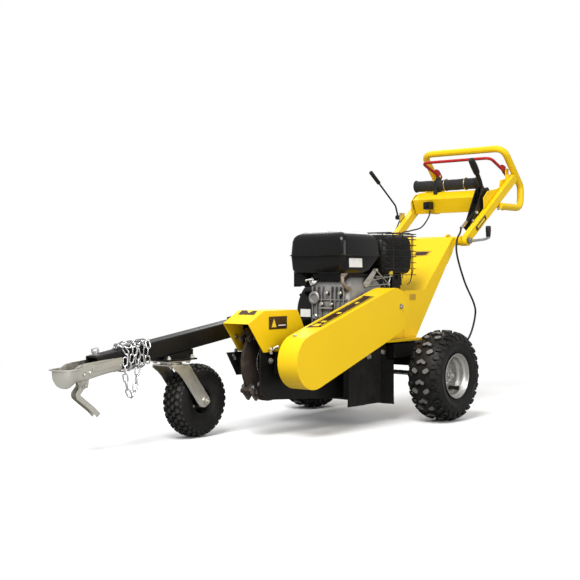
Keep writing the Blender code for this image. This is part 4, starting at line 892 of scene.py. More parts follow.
def ball_coupling():
    """Pressed shell from the round nose to the channel round the beam, with its flange, pads and rivets."""
    bm = new()
    wall, steps = 0.0038, 18
    xs = [-1.5474, -1.5462, -1.543, -1.537, -1.527, -1.517, NOSE_X, -1.5, -1.492, -1.482, -1.472,
          -1.462, -1.45, -1.438, -1.42, -1.38, -1.34, -1.3]
    rings = []
    for x in xs:
        ring = []
        for inset in (0.0, wall):
            w, top, bottom, square = coupling_section(x)
            w, bottom = max(w - inset, 0.0008), bottom + inset
            arc = []
            for k in range(steps + 1):
                a = math.pi * (k / steps - 0.5)
                y = w * math.copysign(abs(math.sin(a)) ** (2 / square), a)
                z = top - (top - bottom) * abs(math.cos(a)) ** (2 / square)
                arc.append(bm.verts.new((x, BEAM_Y + y, z)))
            ring += arc if not inset else list(reversed(arc))
        rings.append(ring)
    count = len(rings[0])
    for one, other in zip(rings, rings[1:]):
        ring_faces(bm, one, other)
    for ring in (rings[0], rings[-1]):
        for k in range(steps):
            bm.faces.new((ring[k], ring[k + 1], ring[count - 2 - k], ring[count - 1 - k]))
    bmesh.ops.recalc_face_normals(bm, faces=bm.faces)
    rim = [(-1.46, -0.0395, 0.288), (-1.478, -0.042, 0.28)]
    rim += [(NOSE_X - 0.0405 * math.cos(a) ** 0.6, 0.043 * math.sin(a), 0.2772)
            for a in (math.radians(15 * k) for k in range(-5, 6))]
    rim += [(-1.478, 0.042, 0.28), (-1.46, 0.0395, 0.288)]
    sweep(bm, [(x, BEAM_Y + y, z) for x, y, z in rim],
          [(-0.005, -0.0017), (0.0045, -0.0017), (0.0045, 0.0017), (-0.005, 0.0017)], UP)
    for side in (-1, 1):
        pad = [(x, z) for x, z in rounded_rect(-1.425, -1.312, -0.011, 0.011, 0.008)]
        side_plate(bm, [(x, beam_z(x) - 0.0035 + z) for x, z in pad], BEAM_Y, side, 0.036, 0.0385)
        for x, z in ((-1.456, 0.26), (-1.4335, 0.265)):
            at = Vector((x, BEAM_Y + side * 0.0362, z))
            lathe(bm, [(0, 0), (0.0062, 0), (0.0056, 0.0022), (0.0034, 0.0036), (0, 0.004)], at,
                  (0, side, 0), 20)
        lug = [(-1.453, 0.243), (-1.448, 0.2155), (-1.428, 0.2155), (-1.423, 0.246)]
        side_plate(bm, lug, BEAM_Y, side, 0.0145, 0.018)
        bolt(bm, (-1.438, BEAM_Y + side * 0.018, 0.2245), (0, side, 0), 0.007, False)
    piece("ball_coupling_shell", bm, ZINC, "chassis", bevel=0.0005, smooth=38, replaces="ball_coupling")


def coupling_latch():
    """Channel-section latch handle: out under the nose, then back and down."""
    bm = new()
    bends = rounded([(-1.445, BEAM_Y, 0.219), (-1.469, BEAM_Y, 0.193), (-1.401, BEAM_Y, 0.142),
                     (-1.38, BEAM_Y, 0.122)], 0.012)
    channel = [(-0.009, -0.014), (0.008, -0.014), (0.008, -0.011), (-0.0055, -0.011),
               (-0.0055, 0.011), (0.008, 0.011), (0.008, 0.014), (-0.009, 0.014)]
    sweep(bm, bends, channel)
    prism(bm, [(-1.447, 0.212), (-1.428, 0.214), (-1.429, 0.233), (-1.447, 0.233)],
          BEAM_Y - 0.012, BEAM_Y + 0.012)
    piece("coupling_latch_channel", bm, ZINC, "latch", bevel=0.0007, smooth=38, replaces="coupling_latch")


def caster_fork():
    """Pressed fork: crown plate with lips, two cranked legs with folded rims, and the swivel race."""
    outer = [(-1.084, 0.264), (-1.084, 0.256), (-1.056, 0.236), (-1.04, 0.22), (-0.965, 0.126),
             (-0.952, 0.1135), (-0.931, 0.111), (-0.913, 0.121), (-0.91, 0.137), (-0.921, 0.152),
             (-0.99, 0.237), (-1.002, 0.256), (-1.006, 0.264)]
    bm = new()
    for side in (-1, 1):
        side_plate(bm, outer, BEAM_Y, side, 0.05, 0.0535)
        rim = [Vector((x, BEAM_Y + side * 0.052, z)) for x, z in outer[1:-1]]
        sweep(bm, rim, flat_bar(0.0018, 0.0018), FAR)
        boss = Vector((CASTER.x, BEAM_Y + side * 0.053, CASTER.z))
        turned(bm, [(0.015, 0), (0.014, 0.0022)], boss, (0, side, 0), 24)
    rounded_box(bm, [(0.261, -1.087, -1.003, BEAM_Y - 0.054, BEAM_Y + 0.054, 0.012),
                     (0.2655, -1.087, -1.003, BEAM_Y - 0.054, BEAM_Y + 0.054, 0.012)])
    turned(bm, [(0.037, 0), (0.0385, 0.002), (0.0385, 0.005), (0.033, 0.0075)],
           (SWIVEL_X, BEAM_Y, 0.2655), UP, 36)
    rod(bm, (CASTER.x, BEAM_Y - 0.058, CASTER.z), (CASTER.x, BEAM_Y + 0.058, CASTER.z), 0.0058, 16)
    piece("caster_fork_pressing", bm, ZINC, "caster_swivel", bevel=0.0005, smooth=38, replaces="caster_fork")


def towing_details():
    """Bolts of the caster plate, the fork's axle and the drawbar sleeve."""
    bm = new()
    plate_rows = (BEAM_Y - 0.034, BEAM_Y + 0.034)
    for x in (-1.089, -0.978):
        for y in plate_rows:
            bolt(bm, (x, y, 0.285), UP, 0.009, True, True)
    for x in (-1.089, -0.997):
        for y in plate_rows:
            bolt(bm, (x, y, 0.2745), DOWN, 0.008, False)
    piece("caster_plate_bolts", bm, ZINC, "chassis", smooth=30)
    bm = new()
    for side in (-1, 1):
        end = Vector((CASTER.x, BEAM_Y + side * 0.055, CASTER.z))
        bolt(bm, end, (0, side, 0), 0.012, True, side < 0)
    turned(bm, [(0.016, 0), (0.016, 0.003), (0.012, 0.004)], (SWIVEL_X, BEAM_Y, 0.262),
           DOWN, 24)
    bolt(bm, (SWIVEL_X, BEAM_Y, 0.2585), DOWN, 0.01, False, True)
    piece("caster_fork_bolts", bm, ZINC, "caster_swivel", smooth=30)
    bm = new()
    for x in (-0.5, -0.575):
        for y in (BEAM_Y - 0.033, BEAM_Y + 0.033):
            bolt(bm, (x, y, 0.3192), UP, 0.008)
    piece("receiver_bolts", bm, STEEL, "chassis", smooth=30)
    bm = new()
    at = on_beam(-0.66, 0.049)
    tube(bm, [at + Vector((0.013 * math.cos(a), 0.0015, 0.013 * math.sin(a) - 0.01))
              for a in (math.radians(20 * k) for k in range(18))], 0.0013, 8, FAR, True)
    piece("receiver_pin_ring", bm, STEEL, "lock_pin", smooth=50)


# ------------------------------------------------------------------------------------------- engine

def rounded_box(bm, rings, steps=5):
    """A closed body through level rounded rectangles: (z, x0, x1, y0, y1, corner radius)."""
    loft(bm, [[(x, y, z) for x, y in rounded_rect(x0, x1, y0, y1, r, steps)]
              for z, x0, x1, y0, y1, r in rings])


def fuel_tank():
    """Two pressed halves meeting at a rolled seam, with a sunken filler."""
    levels = [(0.578, -0.412, -0.3, -0.146, 0.078, 0.016), (0.584, -0.424, -0.282, -0.157, 0.09, 0.02),
              (0.596, -0.431, -0.252, -0.163, 0.097, 0.022), (0.6475, -0.435, -0.191, -0.167, 0.102, 0.024),
              (0.648, -0.441, -0.186, -0.173, 0.107, 0.028), (0.6515, -0.441, -0.186, -0.173, 0.107, 0.028),
              (0.652, -0.435, -0.191, -0.167, 0.102, 0.024), (0.704, -0.432, -0.195, -0.164, 0.098, 0.024),
              (0.718, -0.428, -0.202, -0.16, 0.094, 0.024), (0.727, -0.421, -0.211, -0.152, 0.086, 0.022),
              (0.7335, -0.411, -0.223, -0.142, 0.076, 0.018), (0.7385, -0.402, -0.234, -0.132, 0.066, 0.014),
              (0.741, -0.396, -0.241, -0.126, 0.06, 0.012)]
    rings = [[(x, y, z) for x, y in rounded_rect(x0, x1, y0, y1, r, 6)]
             for z, x0, x1, y0, y1, r in levels]
    cap = Vector((-0.33, -0.04))
    for radius, z in ((0.0362, 0.741), (0.0352, 0.74), (0.035, 0.7222)):
        around = [math.atan2(y - cap.y, x - cap.x) for x, y, _ in rings[-1]]
        rings.append([(cap.x + radius * math.cos(a), cap.y + radius * math.sin(a), z) for a in around])
    bm = new()
    loft(bm, rings)
    piece("fuel_tank_shell", bm, ENGINE, "chassis", bevel=0.0006, smooth=32, replaces="fuel_tank")
    bm = new()
    for y in (-0.14, 0.052):
        box(bm, (-0.412, y, 0.5695), (-0.216, y + 0.018, 0.578), 0.001)
        bolt(bm, (-0.402, y + 0.009, 0.578), UP, 0.007, True)
    piece("fuel_tank_straps", bm, BLACK, "chassis", "engine_black", bevel=0.0004)


def crankcase():
    """Cast block with side cover, ribs, bosses, sump flange and feet."""
    x0, x1, y0, y1 = -0.398, -0.152, -0.158, 0.026
    bm = new()
    rounded_box(bm, [(0.33, x0 + 0.004, x1, y0 + 0.004, y1, 0.016), (0.36, x0, x1, y0, y1, 0.018),
                     (0.47, x0, x1, y0, y1, 0.018), (0.535, x0 + 0.012, x1 - 0.006, y0 + 0.01, y1, 0.022),
                     (0.572, x0 + 0.034, x1 - 0.03, y0 + 0.03, y1 - 0.014, 0.024)])
    rounded_box(bm, [(0.32, x0 - 0.002, x1 + 0.002, y0 - 0.006, y1 + 0.004, 0.014),
                     (0.334, x0 - 0.002, x1 + 0.002, y0 - 0.006, y1 + 0.004, 0.014)])
    for x in (x0 + 0.004, x1 - 0.046):
        rounded_box(bm, [(0.3112, x, x + 0.042, y0 - 0.004, y1 + 0.003, 0.006),
                         (0.321, x, x + 0.042, y0 - 0.004, y1 + 0.003, 0.006)])
    turned(bm, [(0.079, 0), (0.079, 0.003), (0.074, 0.005), (0.055, 0.005), (0.05, 0.003), (0.033, 0.003),
                (0.03, 0.005)], (CRANK.x, y0 + 0.001, CRANK.z), NEAR, 40)
    for k in range(8):
        a = math.radians(22 + 45 * k)
        spot = Vector((CRANK.x + 0.067 * math.cos(a), y0 - 0.0035, CRANK.z + 0.067 * math.sin(a)))
        bolt(bm, spot, NEAR, 0.0055, False)
    for y in (-0.142, -0.122, -0.102, -0.082, -0.036, -0.014, 0.008):
        box(bm, (x0 - 0.006, y, 0.345), (x0 + 0.01, y + 0.0036, 0.53), 0.001)
    for z in (0.372, 0.478):
        box(bm, (x0 - 0.005, y0 + 0.004, z), (x0 + 0.01, y1 - 0.004, z + 0.004), 0.001)
    turned(bm, [(0.026, 0), (0.026, 0.008), (0.022, 0.012), (0.015, 0.012), (0.013, 0.009)],
           (x0 + 0.002, 0.001, 0.486), FRONT, 28)
    box(bm, (x0 - 0.013, -0.0914, 0.444), (x0 + 0.004, -0.0285, 0.452), 0.002)
    for y, z in ((-0.084, 0.462), (-0.036, 0.462), (-0.06, 0.505), (-0.126, 0.505)):
        turned(bm, [(0.008, 0), (0.007, 0.009)], (x0 + 0.002, y, z), FRONT, 16)
    piece("crankcase_casting", bm, CAST, "chassis", bevel=0.0007, replaces="crankcase")
    bm = new()
    for y, z, size in ((-0.084, 0.462, 0.007), (-0.036, 0.462, 0.007), (-0.06, 0.505, 0.007),
                       (-0.126, 0.505, 0.007), (-0.112, 0.35, 0.009)):
        bolt(bm, (x0 - 0.0072, y, z), FRONT, size, True)
    for y in (y0 + 0.008, y1 - 0.009):
        bolt(bm, (x0 + 0.025, y, 0.334), UP, 0.008, True, True)
    for z in (0.388, 0.414):
        turned(bm, [(0.011, 0), (0.011, 0.004), (0.0075, 0.007), (0.0075, 0.012)],
               (x0 - 0.001, -0.004, z), FRONT, 20)
    piece("crankcase_bolts", bm, ZINC, "chassis", smooth=30)


def engine_fittings():
    """Dipstick, fuel pipe, governor linkage, control plate, plug and lead."""
    bm = new()
    tube(bm, rounded([(-0.403, 0.04, 0.55), (-0.41, 0.037, 0.554), (-0.41, 0.006, 0.5585),
                      (-0.403, 0.004, 0.556)], 0.006), 0.003, 10, BACK)
    rod(bm, (-0.392, 0.022, 0.535), (-0.404, 0.022, 0.556), 0.0045, 16, 0.001)
    piece("dipstick_handle", bm, WHITE, "chassis", smooth=40)
    bm = new()
    pipe = rounded([(-0.4, -0.15, 0.58), (-0.424, -0.152, 0.572), (-0.424, -0.152, 0.545),
                    (-0.395, -0.152, 0.522), (-0.372, -0.15, 0.522)], 0.012)
    tube(bm, pipe, 0.007, 12)
    for spot in (2, len(pipe) - 3):
        along = (pipe[spot + 1] - pipe[spot]).normalized()
        lathe(bm, [(0.0065, 0), (0.0105, 0), (0.0105, 0.009), (0.0065, 0.009)], pipe[spot], along, 6)
    piece("fuel_pipe", bm, PIPE, "chassis", smooth=40)
    bm = new()
    for start, end, r in (((-0.277, -0.151, 0.532), (-0.121, -0.151, 0.5385), 0.002),
                          ((-0.26, -0.156, 0.552), (-0.095, -0.156, 0.57), 0.0018),
                          ((-0.204, -0.151, 0.594), (-0.121, -0.151, 0.5385), 0.0024),
                          ((-0.093, -0.151, 0.602), (-0.121, -0.151, 0.5345), 0.003)):
        rod(bm, start, end, r, 8)
    coil = [Vector((-0.2 + 0.0011 * k, -0.148 + 0.0042 * math.cos(k * 0.9),
                    0.566 + 0.0042 * math.sin(k * 0.9))) for k in range(70)]
    tube(bm, coil, 0.0008, 5, UP)
    prism(bm, [(-0.285, 0.52), (-0.262, 0.52), (-0.198, 0.588), (-0.204, 0.6), (-0.214, 0.6),
               (-0.285, 0.545)], -0.149, -0.1465)
    for x, z in ((-0.277, 0.532), (-0.204, 0.594), (-0.121, 0.5365)):
        bolt(bm, (x, -0.152, z), NEAR, 0.006, True)
    piece("governor_linkage", bm, ZINC, "chassis", bevel=0.0002)
    bm = new()
    turned(bm, [(0.012, 0), (0.012, 0.007), (0.009, 0.01)], (-0.1, -0.144, 0.582),
           NEAR, 20)
    piece("governor_knob", bm, MARK, "chassis", smooth=35)
    bm = new()
    prism(bm, [(-0.05, 0.532), (0.018, 0.532), (0.018, 0.565), (0.004, 0.6), (-0.05, 0.6)], -0.122, -0.118)
    box(bm, (-0.044, -0.118, 0.48), (0.012, -0.115, 0.54), 0.001)
    bolt(bm, (-0.015, -0.122, 0.566), NEAR, 0.008)
    piece("control_plate", bm, BLACK, "chassis", bevel=0.0005)
    bm = new()
    turned(bm, [(0.0105, 0), (0.011, 0.008), (0.0085, 0.014), (0.0085, 0.03), (0.0065, 0.036)],
           (0.018, -0.055, 0.492), (1, 0, 0.15), 20)
    tube(bm, catmull([(0.05, -0.055, 0.497), (0.058, -0.04, 0.52), (0.03, 0.004, 0.566), (-0.06, 0.026, 0.59),
                      (-0.15, 0.05, 0.56)]), 0.0035, 8, UP)
    piece("plug_lead", bm, PLASTIC, "chassis", smooth=40)


def shroud_details():
    """Ribbed screen and edge strip on the fan housing, fins of the starter cover, carburettor parts."""
    bm = new()
    x = -0.383
    for k in range(10):
        z = 0.54 + 0.0092 * k
        box(bm, (x - 0.022, 0.05, z), (x + 0.02, 0.099, z + 0.0046), 0.0012)
    box(bm, (x - 0.019, 0.045, 0.528), (x + 0.022, 0.051, 0.635), 0.0015)
    box(bm, (x - 0.019, 0.098, 0.528), (x + 0.022, 0.104, 0.635), 0.0015)
    box(bm, (x - 0.016, 0.049, 0.531), (x + 0.018, 0.1, 0.632), 0.0015)
    piece("shroud_screen", bm, PLASTIC, "chassis", bevel=0.0003)
    bm = new()
    centre = Vector((CRANK.x, 0.134, CRANK.z))
    for k in range(16):
        a = 2 * math.pi * k / 16
        turn = Vector((math.cos(a), 0, math.sin(a)))
        path = [centre + turn * r + Vector((0, -0.0022 - 0.0006 * i, 0))
                for i, r in enumerate((0.046, 0.062, 0.078))]
        tube(bm, path, 0.0032, 8, turn.cross(Vector(FAR)))
    for k in range(4):
        a = math.radians(45 + 90 * k)
        bolt(bm, (CRANK.x + 0.087 * math.cos(a), 0.131, CRANK.z + 0.087 * math.sin(a)), FAR, 0.006)
    turned(bm, [(0.026, 0), (0.024, 0.0035), (0.01, 0.0045)],
           centre - Vector((0, 0.001, 0)), FAR, 28)
    piece("starter_cover_fins", bm, PLASTIC, "chassis", smooth=40)


def air_cleaner():
    """Moulded air cleaner: body, lipped lid with grooves, and its knob."""
    bm = new()
    case = (-0.195, -0.045, -0.01, 0.118)
    def ring(z, inset, r):
        return (z, case[0] + inset, case[1] - inset, case[2] + inset, case[3] - inset, r)
    rounded_box(bm, [ring(0.585, 0.01, 0.014), ring(0.59, 0.006, 0.016), ring(0.632, 0.004, 0.018),
                     ring(0.634, 0.0, 0.02), ring(0.641, 0.0, 0.02), ring(0.643, 0.003, 0.018),
                     ring(0.684, 0.006, 0.022), ring(0.692, 0.012, 0.022), ring(0.696, 0.022, 0.018)])
    for k in range(6):
        y = 0.006 + 0.019 * k
        box(bm, (-0.18, y, 0.694), (-0.06, y + 0.008, 0.6985), 0.0015)
    lathe(bm, [(0, 0), (0.013, 0), (0.0145, 0.003), (0.012, 0.009), (0, 0.01)], (-0.12, 0.054, 0.6955),
          UP, 20)
    for z in (0.6, 0.612):
        box(bm, (-0.1935, 0.01, z), (-0.0465, 0.098, z + 0.004), 0.001)
    piece("air_cleaner_case", bm, PLASTIC, "chassis", bevel=0.0004, replaces="air_cleaner")


def muffler():
    """Pressed silencer: two shells with a folded seam, ribs, outlet and heat shield."""
    bm = new()
    x0, x1, y0, y1 = -0.166, 0.046, -0.16, -0.022
    shell = [(0.578, 0.022, 0.018), (0.584, 0.01, 0.022), (0.6, 0.002, 0.024), (0.655, 0.0, 0.024),
             (0.6555, -0.004, 0.026), (0.659, -0.004, 0.026), (0.6595, 0.0, 0.024), (0.706, 0.002, 0.024),
             (0.724, 0.008, 0.024), (0.733, 0.018, 0.022), (0.736, 0.03, 0.016)]
    rounded_box(bm, [(z, x0 + inset, x1 - inset, y0 + inset, y1 - inset, r) for z, inset, r in shell])
    for z in (0.612, 0.632, 0.68, 0.698):
        box(bm, (x0 + 0.026, y0 - 0.0022, z), (x1 - 0.026, y0 + 0.004, z + 0.007), 0.0016)
        box(bm, (x0 - 0.0022, y0 + 0.026, z), (x0 + 0.004, y1 - 0.026, z + 0.007), 0.0016)
    lathe(bm, [(0.008, 0), (0.013, 0), (0.013, 0.016), (0.008, 0.016)], (0.044, -0.08, 0.62),
          (1, 0, -0.3), 20)
    piece("muffler_shell", bm, BLACK, "chassis", bevel=0.0006, replaces="muffler")
    bm = new()
    rounded_box(bm, [(0.552, -0.386, -0.176, -0.128, 0.03, 0.014),
                     (0.58, -0.388, -0.172, -0.132, 0.034, 0.016),
                     (0.588, -0.38, -0.18, -0.124, 0.026, 0.012)])
    box(bm, (-0.172, -0.112, 0.495), (0.024, -0.1085, 0.593), 0.0015)
    for k in range(5):
        box(bm, (-0.15 + 0.034 * k, -0.115, 0.52), (-0.136 + 0.034 * k, -0.111, 0.575), 0.0014)
    piece("engine_shroud", bm, ENGINE, "chassis", bevel=0.0005)


def muffler_cage():
    """Wire guard round the muffler: level wires, uprights and hooked ends."""
    x0, x1, y0, y1 = -0.16, 0.056, -0.175, -0.048
    bm = new()
    for z in (0.74, 0.731, 0.718, 0.695, 0.671, 0.648, 0.624, 0.6, 0.575):
        path = rounded([(x0, y1, z), (x0, y0, z), (x1, y0, z), (x1, y1, z)], 0.02, 4)
        tube(bm, path, 0.0017, 6, UP)
    for x in (-0.12, -0.052, 0.01):
        path = rounded([(x, -0.048, 0.744), (x, -0.174, 0.744), (x, -0.174, 0.56)], 0.016, 4)
        tube(bm, path, 0.002, 6, BACK)
    for x, lean in ((0.0575, -0.02), (-0.1615, 0.018)):
        for y in (-0.15, -0.05):
            bends = [(x, y, 0.742), (x, y, 0.59), (x + lean, y, 0.545), (x + lean * 2, y, 0.536)]
            tube(bm, rounded(bends, 0.02, 4), 0.002, 6)
    piece("muffler_wire_guard", bm, BLACK, "chassis", smooth=60, replaces="muffler_guard")


# ------------------------------------------------------------------------------- body and its covers

def patch(name, corners, material, body, normal, lift=0.0007):
    """A thin film on a flat face, with no slot: corners in order, raised off the face along normal."""
    bm = new()
    n = Vector(normal).normalized()
    low, high = ([bm.verts.new(Vector(c) + n * h) for c in corners] for h in (lift * 0.2, lift))
    faces = [bm.faces.new(list(reversed(low))), bm.faces.new(high)]
    for i in range(len(corners)):
        j = (i + 1) % len(corners)
        faces.append(bm.faces.new((low[i], low[j], high[j], high[i])))
    bmesh.ops.recalc_face_normals(bm, faces=faces)
    return piece(name, bm, material, body, "")


def oblong(a0, a1, b0, b1):
    """The four corners of a rectangle."""
    return (a0, b0), (a1, b0), (a1, b1), (a0, b1)


def guard_top(t, y):
    """A point on the guard's sloping top, t from its front tangent to its rear one, and the normal."""
    (x0, z0, r0), (x1, z1, r1) = GUARD_FRONT, GUARD_REAR
    run, rise = x1 - x0, z1 - z0
    lean = math.atan2(rise, run) + math.acos((r0 - r1) / math.hypot(run, rise))
    n = Vector((math.cos(lean), 0, math.sin(lean)))
    a, b = Vector((x0, 0, z0)) + n * r0, Vector((x1, 0, z1)) + n * r1
    p = a + (b - a) * t
    return Vector((p.x, y, p.z)), n


def labels():
    """Plain dark, pale and yellow films where a machine carries its labels; no lettering. One more film
    paints the shade of a dark slot on the column's near side.
    """
    normal = guard_top(0.5, -0.2)[1]
    def on_top(name, spots, material, lift):
        patch(name, [guard_top(t, y)[0] for t, y in spots], material, "chassis", normal, lift)
    on_top("guard_band", ((0.17, -0.242), (0.82, -0.242), (0.84, -0.186), (0.15, -0.186)), STICKER, 0.0007)
    for k, (t0, t1, y0, y1) in enumerate(((0.18, 0.23, -0.225, -0.2), (0.26, 0.29, -0.225, -0.205),
                                          (0.19, 0.81, -0.2385, -0.2355), (0.19, 0.81, -0.1925, -0.1895),
                                          (0.44, 0.47, -0.224, -0.206), (0.66, 0.69, -0.222, -0.208))):
        on_top(f"guard_mark_{k + 1}", oblong(t0, t1, y0, y1), MARK, 0.0011)
    def on_hood(name, corners, material, lift):
        patch(name, [(x, HOOD_SIDE_Y, z) for x, z in corners], material, "chassis", NEAR, lift)
    on_hood("hood_side_film", oblong(-0.792, -0.694, 0.383, 0.428), STICKER, 0.0007)
    on_hood("hood_side_mark", ((-0.778, 0.39), (-0.752, 0.39), (-0.765, 0.42)), MARK, 0.0011)
    on_hood("hood_side_line", oblong(-0.742, -0.702, 0.394, 0.398), WHITE, 0.0011)
    hood_rise, hood_run = 0.044, 0.082
    crest = Vector((-hood_rise, 0, hood_run)).normalized()
    def on_chamfer(x, y):
        return (x, y, 0.405 + (x + 0.9) * hood_rise / hood_run)
    patch("hood_top_film", [on_chamfer(x, y) for x, y in ((-0.844, -0.0055), (-0.844, -0.082),
                                                          (-0.8185, -0.074), (-0.8185, -0.003))],
          STICKER, "chassis", crest)
    patch("hood_top_mark", [on_chamfer(x, y) for x, y in ((-0.819, -0.027), (-0.834, -0.047),
                                                          (-0.819, -0.057))], MARK, "chassis", crest, 0.0011)
    patch("tank_side_film", [(-0.402, -0.1668, 0.604), (-0.319, -0.1668, 0.604), (-0.319, -0.1655, 0.64),
                             (-0.402, -0.1655, 0.64)], WHITE, "chassis", NEAR)
    patch("tank_front_plate", [(-0.4318, -0.087, 0.658), (-0.4318, -0.127, 0.658), (-0.4312, -0.127, 0.67),
                               (-0.4312, -0.087, 0.67)], STEEL, "chassis", FRONT, 0.0012)
    patch("housing_film", [(-0.384, 0.084, 0.411), (-0.384, 0.034, 0.411), (-0.384, 0.034, 0.441),
                           (-0.384, 0.084, 0.441)], WHITE, "chassis", FRONT)
    column_rise, column_run = 0.2185, 0.22
    slope = Vector((-column_rise, 0, column_run)).normalized()
    def on_front(x, y):
        return (x, y, 0.5125 + (x - 0.124) * column_rise / column_run)
    patch("column_band", [on_front(x, y) for x, y in ((0.29, -0.012), (0.29, -0.096), (0.27, -0.084),
                                                      (0.266, -0.012))], FADED_PRINT_AND_SHADE, "chassis", slope)
    patch("column_band_mark", [on_front(x, y) for x, y in ((0.286, -0.02), (0.286, -0.084), (0.272, -0.076),
                                                           (0.27, -0.02))], STICKER, "chassis", slope, 0.0011)
    # Painted shade: a flat dark orange film where the slot on the column's near side lies in shade.
    patch("column_slot_painted_shade", [(x, -0.1655, z) for x, z in oblong(0.012, 0.054, 0.474, 0.496)], FADED_PRINT_AND_SHADE,
          "chassis", NEAR)
    along, up = Vector((0.41, -0.02, 0.306)).normalized(), Vector((-0.306, 0, 0.41)).normalized()
    middle = Vector((0.512, -0.2083, 0.802))
    for name, length, width, material, lift in (("arm_film", 0.048, 0.0105, STICKER, 0.0007),
                                                ("arm_mark", 0.034, 0.005, MARK, 0.0011)):
        corners = [middle + along * a * length + up * b * width for a, b in oblong(-1, 1, -1, 1)]
        patch(name, corners, material, "handle", along.cross(up), lift)


def covers():
    """Column skirt, and the bolts and wing nut of guard, hood, housing and column."""
    bm = new()
    prism(bm, [(-0.198, 0.3205), (-0.034, 0.3205), (-0.034, 0.51), (-0.06, 0.51), (-0.198, 0.41)],
          -0.1665, -0.164)
    piece("column_skirt", bm, YELLOW, "chassis", bevel=0.0006)
    bm = new()
    bolt(bm, (-0.193, -0.26, 0.453), NEAR, 0.009)
    for x, z in ((0.01, 0.35), (0.2, 0.56), (0.32, 0.69)):
        bolt(bm, (x, 0.165, z), FAR, 0.008)
    spot, normal = guard_top(-0.01, -0.2)
    bolt(bm, spot, normal, 0.006)
    for x, z in ((-0.838, 0.307), (-0.841, 0.28), (-0.836, 0.356)):
        bolt(bm, (x, 0.0115, z), NEAR, 0.007)
    piece("cover_bolts", bm, STEEL, "chassis", smooth=30)
    bm = new()
    at = Vector((-0.781, HOOD_SIDE_Y, 0.312))
    turned(bm, [(0.009, 0), (0.0075, 0.009)], at, NEAR, 20)
    for s in (-1, 1):
        wing = rounded([at + Vector((0, -0.005, 0)), at + Vector((s * 0.012, -0.009, s * 0.006)),
                        at + Vector((s * 0.02, -0.018, s * 0.01))], 0.006)
        tube(bm, wing, 0.0042, 10, UP, False, [1.0 + 0.35 * k / len(wing) for k in range(len(wing))])
    rod(bm, at, at + Vector((0, -0.016, 0)), 0.0038, 12, 0.0006)
    bolt(bm, (-0.784, HOOD_SIDE_Y, 0.273), NEAR, 0.009, True, True)
    piece("hood_wing_nut", bm, ZINC, "chassis", smooth=35)


def cutter_details():
    """Tooth bolts, carbide cups, polished shanks and the hub ring that turn with the wheel."""
    cups, bolts, shanks = new(), new(), new()
    for k in range(4):
        a = math.radians(222 + 90 * k)
        out, along = Vector((math.cos(a), 0, math.sin(a))), Vector((-math.sin(a), 0, math.cos(a)))
        for y in (-0.0225, 0.0225):
            middle = CUTTER + out * 0.1355 + Vector((0, y, 0))
            lathe(cups, [(0, 0), (0.007, 0), (0.0088, 0.004), (0.0092, 0.012), (0.007, 0.012), (0.005, 0.01),
                         (0, 0.0095)], middle + along * 0.004, along, 20)
            rod(shanks, middle - along * 0.016, middle + along * 0.006, 0.0068, 16, 0.001)
            side = 1 if y > 0 else -1
            face = CUTTER + out * 0.112 + Vector((0, side * 0.0298, 0))
            bolt(bolts, face, (0, side, 0), 0.0095, True, True)
    for k in range(5):
        a = 2 * math.pi * k / 5
        bolt(bolts, CUTTER + Vector((0.04 * math.cos(a), -0.005, 0.04 * math.sin(a))), NEAR, 0.009)
    lathe(bolts, [(0.062, 0), (0.07, 0), (0.069, 0.0016), (0.063, 0.0016)], CUTTER - Vector((0, 0.0052, 0)),
          NEAR, 40)
    piece("tooth_cups", cups, CARBIDE, "cutter", smooth=35)
    piece("tooth_shanks", shanks, STEEL, "cutter", smooth=35)
    piece("cutter_bolts", bolts, STEEL, "cutter", smooth=30)


def hanging_sheet(name, node, top, down, out, thick, folds, slant=0.0):
    """A rubber sheet from two top corners, hanging by vector down, its first edge slanted, with soft folds
    growing towards its foot."""
    a, b = Vector(top[0]), Vector(top[1])
    down, out = Vector(down), Vector(out)
    across, rows = 28, 12
    bm = new()
    skins = []
    for level in (0.0, thick):
        skin = []
        for j in range(rows + 1):
            t = j / rows
            row = []
            for i in range(across + 1):
                s = i / across
                wave = math.sin(2 * math.pi * (folds * s + 0.13))
                wave += 0.45 * math.sin(2 * math.pi * (2.3 * folds * s + t))
                p = a + (b - a) * s + down * t + out * (0.0022 * t * t * wave + level)
                p = p + (b - a).normalized() * slant * t * (1 - s)
                row.append(bm.verts.new(p))
            skin.append(row)
        skins.append(skin)
    front, back = skins
    for j in range(rows):
        for i in range(across):
            bm.faces.new((front[j][i], front[j][i + 1], front[j + 1][i + 1], front[j + 1][i]))
            bm.faces.new((back[j][i], back[j + 1][i], back[j + 1][i + 1], back[j][i + 1]))
    edge = [(0, i) for i in range(across)] + [(j, across) for j in range(rows)]
    edge += [(rows, i) for i in range(across, 0, -1)] + [(j, 0) for j in range(rows, 0, -1)]
    for k, (j, i) in enumerate(edge):
        n, m = edge[(k + 1) % len(edge)]
        bm.faces.new((front[j][i], back[j][i], back[n][m], front[n][m]))
    bmesh.ops.recalc_face_normals(bm, faces=bm.faces)
    piece(name, bm, RUBBER, "chassis", smooth=60, replaces=node)


def flaps():
    """Rubber flaps hung under the deck and beside the cutter, with their clamping strips."""
    hanging_sheet("side_flap_sheet", "side_flap", ((-0.416, -0.1755, 0.292), (-0.208, -0.1755, 0.292)),
                  (0, 0, -0.214), FAR, 0.005, 1.7)
    hanging_sheet("rear_flap_sheet", "rear_flap", ((-0.1585, -0.2, 0.243), (-0.1585, 0.105, 0.243)),
                  (0, 0, -0.175), BACK, 0.005, 2.6)
    hanging_sheet("front_flap_sheet", "front_flap", ((-0.878, 0.0165, 0.301), (-0.775, 0.0165, 0.301)),
                  (0.004, 0, -0.083), FAR, 0.004, 0.8, 0.05)
    bm = new()
    for x, z in ((-0.385, 0.262), (-0.291, 0.262), (-0.197, 0.274)):
        bolt(bm, (x, -0.1765, z), NEAR, 0.01)
    for x in (-0.846, -0.79):
        bolt(bm, (x, 0.016, 0.29), NEAR, 0.005)
    piece("flap_bolts", bm, ZINC, "chassis", smooth=30)


